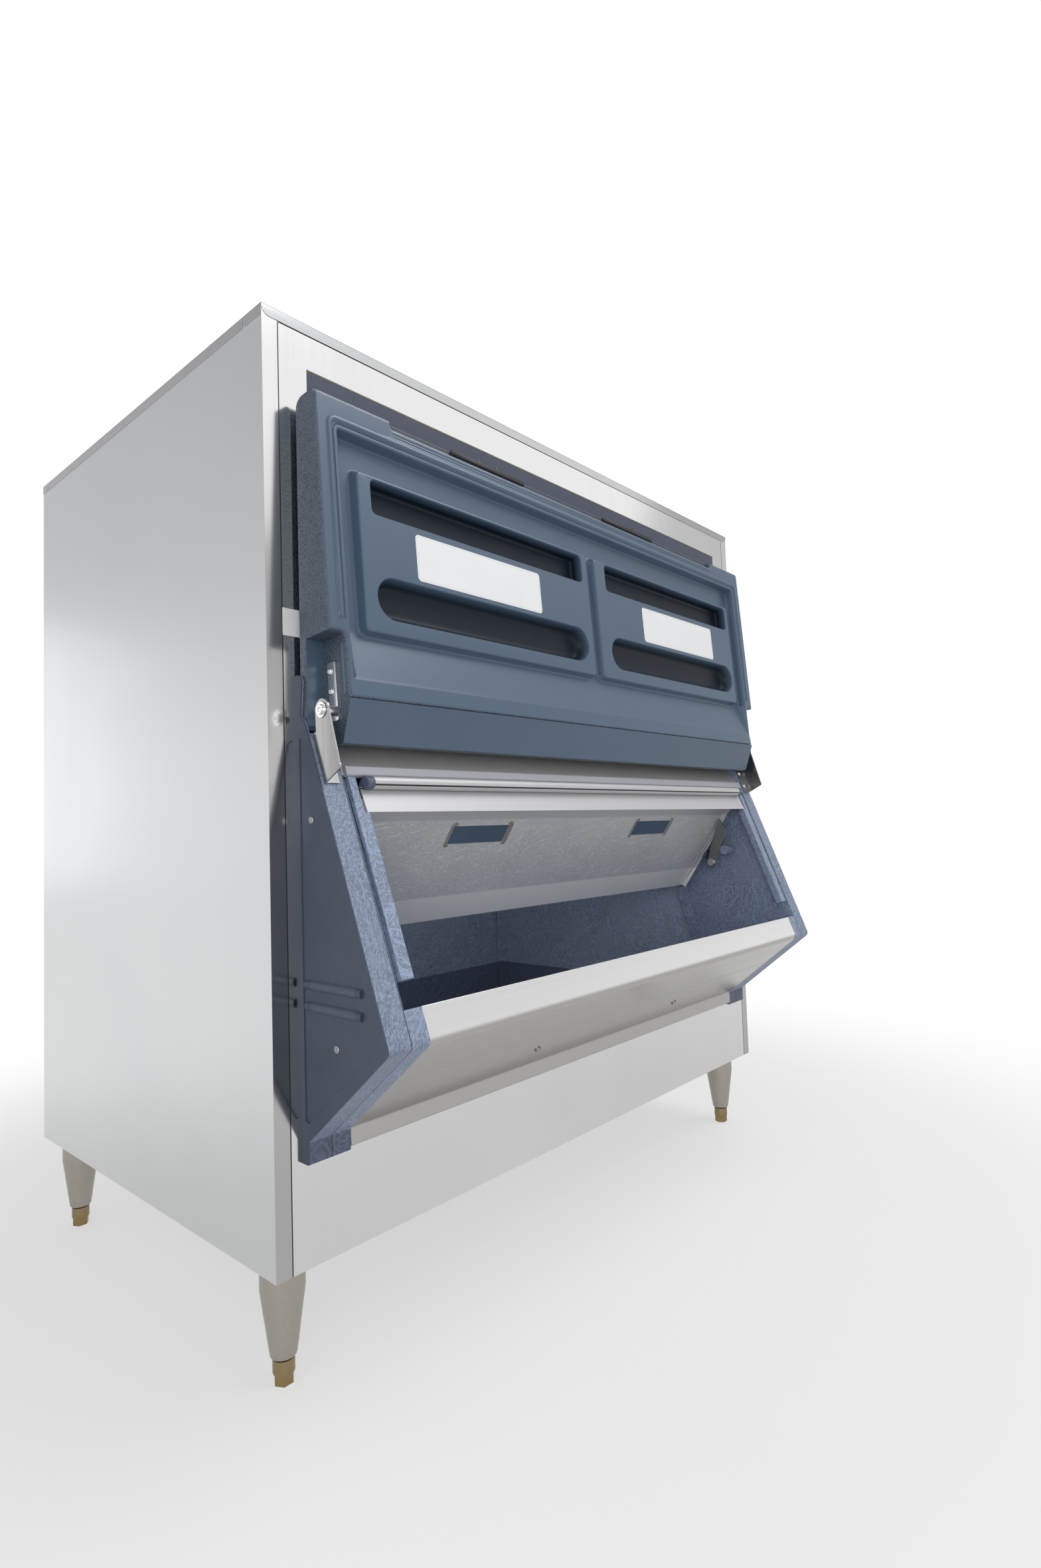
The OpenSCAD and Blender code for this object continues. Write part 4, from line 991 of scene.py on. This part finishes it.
def head_mesh(radius, height, shank, around=48):
    """The head stands on Z = 0 with its shank below."""
    profile = [(0.0, 1), (0.18, 0.995), (0.3, 0.985), (0.42, 0.96), (0.55, 0.92), (0.68, 0.85), (0.8, 0.76),
               (0.9, 0.62), (0.97, 0.42), (1.0, 0.22), (1.0, 0.0), (0.55, 0.0), (0.55, -1)]
    arm, reach, deep = radius * 0.13, radius * 0.55, height * 0.55
    rows = []
    for share, up in profile[1:]:
        row = []
        for k in range(around):
            x, y = (radius * share * f(2 * math.pi * k / around) for f in (math.cos, math.sin))
            near, far = sorted((abs(x), abs(y)))
            cut = clamped((arm * 1.5 - near) / (arm * 0.6)) * clamped((reach - far) / (radius * 0.08))
            z = -shank if up < 0 else height * up - deep * cut * (up > 0.5)
            row.append(Vector((x, y, z)))
        rows.append(row)
    points = [Vector((0, 0, height - deep))] + [p for row in rows for p in row] + [Vector((0, 0, -shank))]
    faces = [(0, 1 + k, 1 + (k + 1) % around) for k in range(around)]
    for i in range(len(rows) - 1):
        a, b = 1 + i * around, 1 + (i + 1) * around
        faces += [(a + k, b + k, b + (k + 1) % around, a + (k + 1) % around) for k in range(around)]
    last = 1 + (len(rows) - 1) * around
    faces += [(last + k, len(points) - 1, last + (k + 1) % around) for k in range(around)]
    mesh = bpy.data.meshes.new("head")
    mesh.from_pydata(points, [], faces)
    mesh.shade_smooth()
    return mesh


print("head faces:", len(head_mesh(0.005, 0.002, 0.01).polygons))


# %% A tree that sets a form on marked points
def marks_tree():
    tree, given = new_tree("forms_on_marks", Marks="Geometry", Form="Object", Turn=("Float", 0.6),
                           Seed=("Int", 3), Finish="Material")
    form = add(tree, "GeometryNodeObjectInfo", given["Form"])
    arrow = add(tree, "GeometryNodeInputNamedAttribute", data_type="FLOAT_VECTOR", Name="arrow")
    facing = add(tree, "FunctionNodeAlignRotationToVector", axis="Z", Vector=arrow.outputs["Attribute"])
    twist = add(tree, "FunctionNodeRandomValue", data_type="FLOAT", Seed=given["Seed"])
    feed(tree, twist.inputs[3], given["Turn"])
    spin = add(tree, "FunctionNodeAxisAngleToRotation", Axis=(0, 0, 1), Angle=twist.outputs[1])
    turned = add(tree, "FunctionNodeRotateRotation", facing, spin, rotation_space="LOCAL")
    points = add(tree, "GeometryNodeMeshToPoints", given["Marks"])
    copies = add(tree, "GeometryNodeInstanceOnPoints", points, Instance=form.outputs["Geometry"], Rotation=turned)
    return dressed_out(tree, "Forms", copies, given["Finish"])


MARKS = marks_tree()


def screws(name, node, marks, radius, height, shank, finish):
    """A head at each (place, arrow), standing for a CAD node of screws."""
    form = in_scene(name + "_form", head_mesh(radius, height, shank))
    mesh = bpy.data.meshes.new(name)
    mesh.from_pydata([place for place, _ in marks], [], [])
    arrows = [value for _, arrow in marks for value in arrow]
    mesh.attributes.new("arrow", "FLOAT_VECTOR", "POINT").data.foreach_set("vector", arrows)
    piece = placed(name, mesh, finish)
    run_tree(piece, MARKS, Form=form, Turn=1.5, Seed=len(name), Finish=finish)
    bpy.data.objects.remove(form)
    return fitted(piece, node)


# %% Screws in the walls, arms and brackets
def on_mouth(x, u, out):
    """A place u below the top of the hopper's mouth and out in front of it."""
    place = MOUTH_NOSE + (MOUTH_LENGTH - u) * MOUTH_UP + out * MOUTH_OUT
    return Vector((x, place.y, place.z)) * MM


wall_marks = [(Vector((s * 568.8, FRONT_Y + y, z)) * MM, (s, 0, 0))
              for s in sides for y, z in ((-73, 430.3), (-29, 702.3))]
arm_marks = [(on_mouth(s * 552.5, u, 2.5), tuple(MOUTH_OUT)) for s in sides for u in (40, 70)]
bracket_marks = [(on_door(s * 543.5, u, 34.5), (s, 0, 0)) for s in sides for u in (26, 52)]
screws("wall_screw_heads", "wall_screws", wall_marks, 0.005, 0.002, 0.012, steel_head)
screws("arm_screw_heads", "arm_screws", arm_marks, 0.0045, 0.0022, 0.012, steel_bright)
screws("bracket_screw_heads", "bracket_screws", bracket_marks, 0.0044, 0.0024, 0.004, steel_bright)
print("screw heads:", len(wall_marks) + len(arm_marks) + len(bracket_marks))

# %% [markdown]
# Each window in the gate was sealed by hand: a wavy strand of grey sealant hugs both of
# its ends. The strand runs half sunk in the sheet and is pressed flat, so that only a low
# rounded ribbon shows. Its wobble comes from the noise in the strand tree.

# %% Sealant round the windows
GATE_START = Vector((0, -7.02562, 689.968))
GATE_UP = Vector((0, -math.sin(GATE_TILT), math.cos(GATE_TILT)))
GATE_OUT = Vector((0, -math.cos(GATE_TILT), -math.sin(GATE_TILT)))
IN_SHEET = 0.0012


def on_gate(x, up, out):
    place = GATE_START + up * GATE_UP + out * GATE_OUT
    return Vector((x, place.y + FRONT_Y, place.z)) * MM


def pressed(point):
    """Flattens a strand to a low bead on the gate's face and a thin smear behind it."""
    out = (point - on_gate(0, 0, 0)).dot(GATE_OUT)
    flat = out * 0.4 if out > 0 else out if out > -IN_SHEET else (out + IN_SHEET) * 0.2 - IN_SHEET
    return point + (flat - out) * GATE_OUT


seal_paths = []
for s in sides:
    for end, inwards in ((181.3, 1), (305.3, -1)):
        hook = ((9, 3.4), (-3.4, 3.4), (-3.4, -36.4), (6, -36.4))
        a, b, c, d = (on_gate(s * (end + inwards * x), up, -4.3) for x, up in hook)
        seal_paths.append([a, *bend_between(a, b, c, 0.005), *bend_between(b, c, d, 0.005), d])
strand("window_sealant", seal_paths, "gate_panes", sealant, 0.0058, 0.0025, 0.05, 14, pressed)
print("sealant strands:", len(seal_paths))

# %% [markdown]
# Sheet pieces with shaped ends are cut like real blanks: a flat outline, given a
# thickness. The cap is folded from one sheet with an opening for the machine on top. Its
# front skirt wraps round the corners, where its ends sweep up in a curve and show the
# corner of the cabinet behind them, and at the rear a tab wraps round from the back.

# %% Flat blanks with a thickness
def sheet_mesh(form, edge):
    """The mesh of a sheet, with its sharp edges broken by a small bevel."""
    bmesh.ops.recalc_face_normals(form, faces=form.faces)
    sharp = [e for e in form.edges if e.calc_face_angle(0) > 0.8]
    bmesh.ops.bevel(form, geom=sharp, offset=edge, segments=1, affect="EDGES", clamp_overlap=True)
    return mesh_of(form, "blank", False)


def blank(outline, place, thickness, edge=0.0003):
    """A mesh of a flat outline: place(a, b, t) puts a point of it at thickness t."""
    form = bmesh.new()
    low, high = ([form.verts.new(place(a, b, t)) for a, b in outline] for t in (0.0, thickness))
    form.faces.new(low)
    form.faces.new(list(reversed(high)))
    for i in range(len(low)):
        j = (i + 1) % len(low)
        form.faces.new((low[j], low[i], high[i], high[j]))
    return sheet_mesh(form, edge)


def rimmed(outer, inner, top, thickness, edge=0.0003):
    """A flat sheet with an opening, between two outlines of equal length."""
    form = bmesh.new()
    loops = [[form.verts.new(Vector((x, y, z)) * MM) for x, y in line]
             for z in (top, top - thickness) for line in (outer, inner)]
    for i in range(len(outer)):
        j = (i + 1) % len(outer)
        for a, b in ((0, 1), (2, 3), (0, 2), (1, 3)):
            form.faces.new((loops[a][i], loops[a][j], loops[b][j], loops[b][i]))
    return sheet_mesh(form, edge)


def curved_end(at, inwards, bottom, top, radius):
    """A skirt's end that sweeps up to its top edge in a quarter of an ellipse."""
    steps = [math.pi / 2 * k / 8 for k in range(9)]
    return [(at + inwards * radius * (1 - math.sin(t)), bottom + (top - bottom) * (1 - math.cos(t))) for t in steps]


# %% The cap
SHEET = 0.8
RIM_SIDE, RIM_ENDS = 80, 84
TAB, SIDE_START, REAR_TAB = 45, 46.2, 26
low, high = (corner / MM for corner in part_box("top_cap"))
skirt_end = high.z - 2.6
quarter = [math.pi / 2 * k / 6 for k in range(7)]
front_skirt = curved_end(low.x, 1, low.z, skirt_end, 13) + [(low.x, high.z), (high.x, high.z)]
front_skirt += reversed(curved_end(high.x, -1, low.z, skirt_end, 13))
front_tab = curved_end(low.y, 1, low.z, skirt_end, 7) + [(low.y, high.z), (low.y + TAB, high.z)]
front_tab += [(low.y + TAB - 5 * (1 - math.cos(t)), low.z + 5 * (1 - math.sin(t))) for t in quarter]
start, end = low.y + SIDE_START, high.y - REAR_TAB - 1
side_skirt = [(start + 4 * (1 - math.sin(t)), low.z + 4 * (1 - math.cos(t))) for t in quarter]
side_skirt += [(start, high.z), (end, high.z), (end, low.z)]
start = high.y - REAR_TAB
rear_tab = [(start + 5 * (1 - math.sin(t)), low.z + 5 * (1 - math.cos(t))) for t in quarter]
rear_tab += [(start, high.z), (high.y, high.z), (high.y, low.z)]


def corners_of(x0, x1, y0, y1):
    return [(x0, y0), (x1, y0), (x1, y1), (x0, y1)]


opening = corners_of(low.x + SHEET + RIM_SIDE, high.x - SHEET - RIM_SIDE,
                     low.y + SHEET + RIM_ENDS, high.y - RIM_ENDS)
cap_meshes = [rimmed(corners_of(low.x, high.x, low.y, high.y), opening, high.z, 1.0),
              blank(front_skirt, lambda a, b, t: Vector((a, low.y + t, b)) * MM, SHEET),
              blank(corners_of(low.x, high.x, low.z, high.z), lambda a, b, t: Vector((a, high.y - t, b)) * MM, SHEET)]
for side, edge in ((1, high.x), (-1, low.x)):
    for outline in (front_tab, side_skirt, rear_tab):
        cap_meshes.append(blank(outline, lambda a, b, t: Vector((edge - side * t, a, b)) * MM, SHEET))
fitted(finished(placed("folded_cap", mesh_of(form_of(*cap_meshes), "folded_cap"), steel_cap)), "top_cap")
print("cap sheets:", len(cap_meshes))

# %% Painted shadow under the cap and dark seams beside the front sheet
THIN_EDGE = 0.00005
# A thin black strip under the skirt's edge stands for its shadow on the panel: painted shadow, as the skirt lies flat
# on the panel.
shadow_outline = [(-586, low.z - 1.6), (-300, low.z - 1.3), (586, low.z - 0.5), (586, low.z + 2), (-586, low.z + 2)]
gap = blank(shadow_outline, lambda a, b, t: Vector((a, low.y + 0.75 + t, b)) * MM, 0.3, THIN_EDGE)
fitted(placed("cap_gap", gap, rubber), "top_cap", False)
sheet_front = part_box("front_panel")[0].y / MM - 0.04
seams = [blank(corners_of(s * 585.9, s * 587.6, 153, 1342),
               lambda a, b, t: Vector((a, sheet_front + t, b)) * MM, 0.4, THIN_EDGE) for s in sides]
fitted(placed("front_seams", mesh_of(form_of(*seams), "front_seams"), rubber), "front_panel", False)
print("seams:", len(seams))

# %% Clips on the door's trim
CLIP_TOP = 410.2


def clip_outline(x0, x1):
    """A low bar with two round knobs on its upper edge."""
    outline = [(x0, 403.5), (x1, 403.5), (x1, CLIP_TOP)]
    for share in (0.607, 0.366):
        knob = x0 + share * (x1 - x0)
        turns = [math.pi * k / 6 for k in range(7)]
        outline += [(knob + 3.6 * math.cos(t), CLIP_TOP + 5 * math.sin(t)) for t in turns]
    return outline + [(x0, CLIP_TOP)]


clips = [blank(clip_outline(x0, x1), lambda a, b, t: on_door(a, b, 5.6 + t), 2.4)
         for x0, x1 in ((-323.6, -159.6), (57.4, 222.4))]
fitted(placed("trim_clip_bars", mesh_of(form_of(*clips), "trim_clip_bars"), rubber), "trim_clips")
print("clips:", len(clips))

# %% [markdown]
# The bar on the hopper's lip is a soft vinyl extrusion: a rounded nose over a flat face.
# Its copy from the CAD gets a wide bevel. Labels are bare film: their UV map marks the faces between 2.2 and 2.6 mm
# from the label's edge, which lets the film draw its thin grey line at a constant distance.

# %% Lip bar
softened("edge_bar", vinyl, 0.0032, 4, 30)
bar_low, bar_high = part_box("edge_bar")
print("bar:", [round(v / MM, 1) for v in (*bar_low, *bar_high)])


# %% Bare labels with a fine border
LINE_AT = {2.2, 2.6}


def label(name, node):
    """A rounded film, its rings set at fixed distances from the edge, the faces of its grey line marked in U."""
    lows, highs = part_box(node)
    corners = rectangle(lows.x / MM, highs.x / MM, 190, 257, 6)
    rows = [(0.0, 4.0), (0.05, 3.74), (0.35, 3.7), (2.2, 3.7), (2.6, 3.7)]
    points, faces, reach = [], [], []
    for inset, depth in rows:
        loop = inset_loop(corners, inset, 5)
        points += [on_door(x, u, depth) for x, u in loop]
        reach += [inset] * len(loop)
    count = len(points) // len(rows)
    for i in range(len(rows) - 1):
        for k in range(count):
            n = (k + 1) % count
            faces.append((i * count + k, i * count + n, (i + 1) * count + n, (i + 1) * count + k))
    faces.append(tuple(range(len(points) - count, len(points))))
    faces.append(tuple(reversed(range(count))))
    mesh = bpy.data.meshes.new(name)
    mesh.from_pydata(points, [], faces)
    layer = mesh.uv_layers.new(name="from_edge")
    for polygon in mesh.polygons:
        flat = 0.85 if {reach[v] for v in polygon.vertices} == LINE_AT else 0.2
        for corner in polygon.loop_indices:
            layer.data[corner].uv = (flat, 0.5)
    mesh.shade_smooth()
    return fitted(finished(placed(name, mesh, film)), node)


label("label_film_large", "label_large")
label("label_film_small", "label_small")
print("labels: 2")

# %% Finishes for the nodes that keep their own mesh
kept = {"liner": liner_blue, "insulation": foam, "hopper_foam": foam, "door_core": foam,
        "rating_plate": film, "arm_bushes": bush, "door_trim": trim_edge}
for node, finish in kept.items():
    mesh = nodes[node].data
    mesh.materials.clear()
    mesh.materials.append(finish)
print("kept nodes:", len(kept))

# %% [markdown]
# The stage is a pale floor that keeps the bin's shadow and turns to plain white further
# off, where only the camera and shiny things see it as light, and these see it dimmer to
# the right. The room is white near the horizon and dimmer overhead for anything shiny, as
# a studio with a darker ceiling is, and that draws the soft gradients on the steel.

# %% Floor
floor_mesh = bpy.data.meshes.new("floor")
floor_mesh.from_pydata([(-9, -9, 0), (9, -9, 0), (9, 9, 0), (-9, 9, 0)], [], [(0, 1, 2, 3)])
floor = in_scene("floor", floor_mesh)
pale = Finish("pale_floor", Roughness=0.75)
smudge = pale.use(SMUDGES, Scale=0.8)["Smudge"]
pale.end(pale.ramp(smudge, (0.66, 0.66, 0.655), (0.69, 0.69, 0.685)))
coords = pale.add("TexCoord").outputs["Object"]
away = vectors(pale.tree, "LENGTH", coords).outputs["Value"]
far = span_of(pale.tree, away, 0.8, 1.9, 0.55, 1.0, "SMOOTHSTEP")
dimmer = span_of(pale.tree, pale.add("SeparateXYZ", coords), -0.2, 1.4, 1.0, 0.62, "SMOOTHSTEP")
ray = pale.add("LightPath").outputs
mirrored = pale.maths("MULTIPLY", ray["Is Glossy Ray"], dimmer)
seen = pale.maths("MULTIPLY", far, pale.maths("MAXIMUM", ray["Is Camera Ray"], mirrored))
white = pale.add("Emission", Color=grey(1))
either = pale.add("MixShader", seen, pale.shader, white)
feed(pale.tree, pale.tree.nodes["Material Output"].inputs["Surface"], either)
floor_mesh.materials.append(pale.material)
print("floor: 18 m square")

# %% World
world = bpy.data.worlds.new("studio")
bpy.context.scene.world = world
world.use_nodes = True
room = world.node_tree
room.nodes.clear()
upwards = add(room, "SeparateXYZ", add(room, "TexCoord").outputs["Generated"]).outputs["Z"]
heights = add(room, "ValToRGB", upwards)
stops = [(0.0, 0.97), (0.06, 1.0), (0.3, 0.72), (0.55, 0.58), (1.0, 0.5)]
while len(heights.color_ramp.elements) < len(stops):
    heights.color_ramp.elements.new(0.5)
for element, (at, value) in zip(heights.color_ramp.elements, stops):
    element.position = at
    element.color = (value, value, value * 1.01, 1)
shiny = add(room, "Background", heights)
plain = add(room, "Background", grey(1), Strength=0.42)
backdrop = add(room, "Background", grey(1), Strength=1.0)
ray = add(room, "LightPath").outputs
gloss = maths(room, "MAXIMUM", ray["Is Glossy Ray"], ray["Is Transmission Ray"])
lit = add(room, "MixShader", gloss, plain, shiny)
add(room, "OutputWorld", add(room, "MixShader", ray["Is Camera Ray"], lit, backdrop))
print("world stops:", len(stops))


# %% Lamps
def softbox(name, place, target, size, power):
    data = bpy.data.lights.new(name, "AREA")
    data.shape = "RECTANGLE"
    data.size, data.size_y = size
    data.energy = power
    lamp = in_scene(name, data)
    lamp.location = place
    aim = Vector(target) - Vector(place)
    lamp.rotation_euler = aim.to_track_quat("-Z", "Y").to_euler()


softbox("key", (1.6, -2.2, 4.8), (0, -0.3, 0.8), (3.0, 2.4), 100)
softbox("rear_left", (-1.55, 3.6, 1.15), (-0.6, 0.2, 0.8), (0.8, 1.4), 1.6)
softbox("front_card", (1.8, -3.4, 3.5), (-0.1, -0.3, 1.2), (4.4, 2.0), 15)
softbox("top", (0, 0.6, 4.4), (0, 0, 0.9), (3.0, 3.0), 15)
softbox("left_fill", (-3.2, -1.2, 3.6), (-0.3, -0.3, 0.8), (1.6, 1.6), 14)
softbox("mouth_fill", (-2.1, -2.1, 1.0), (0.4, -0.35, 0.6), (1.4, 1.2), 14)
print("lamps: 6")
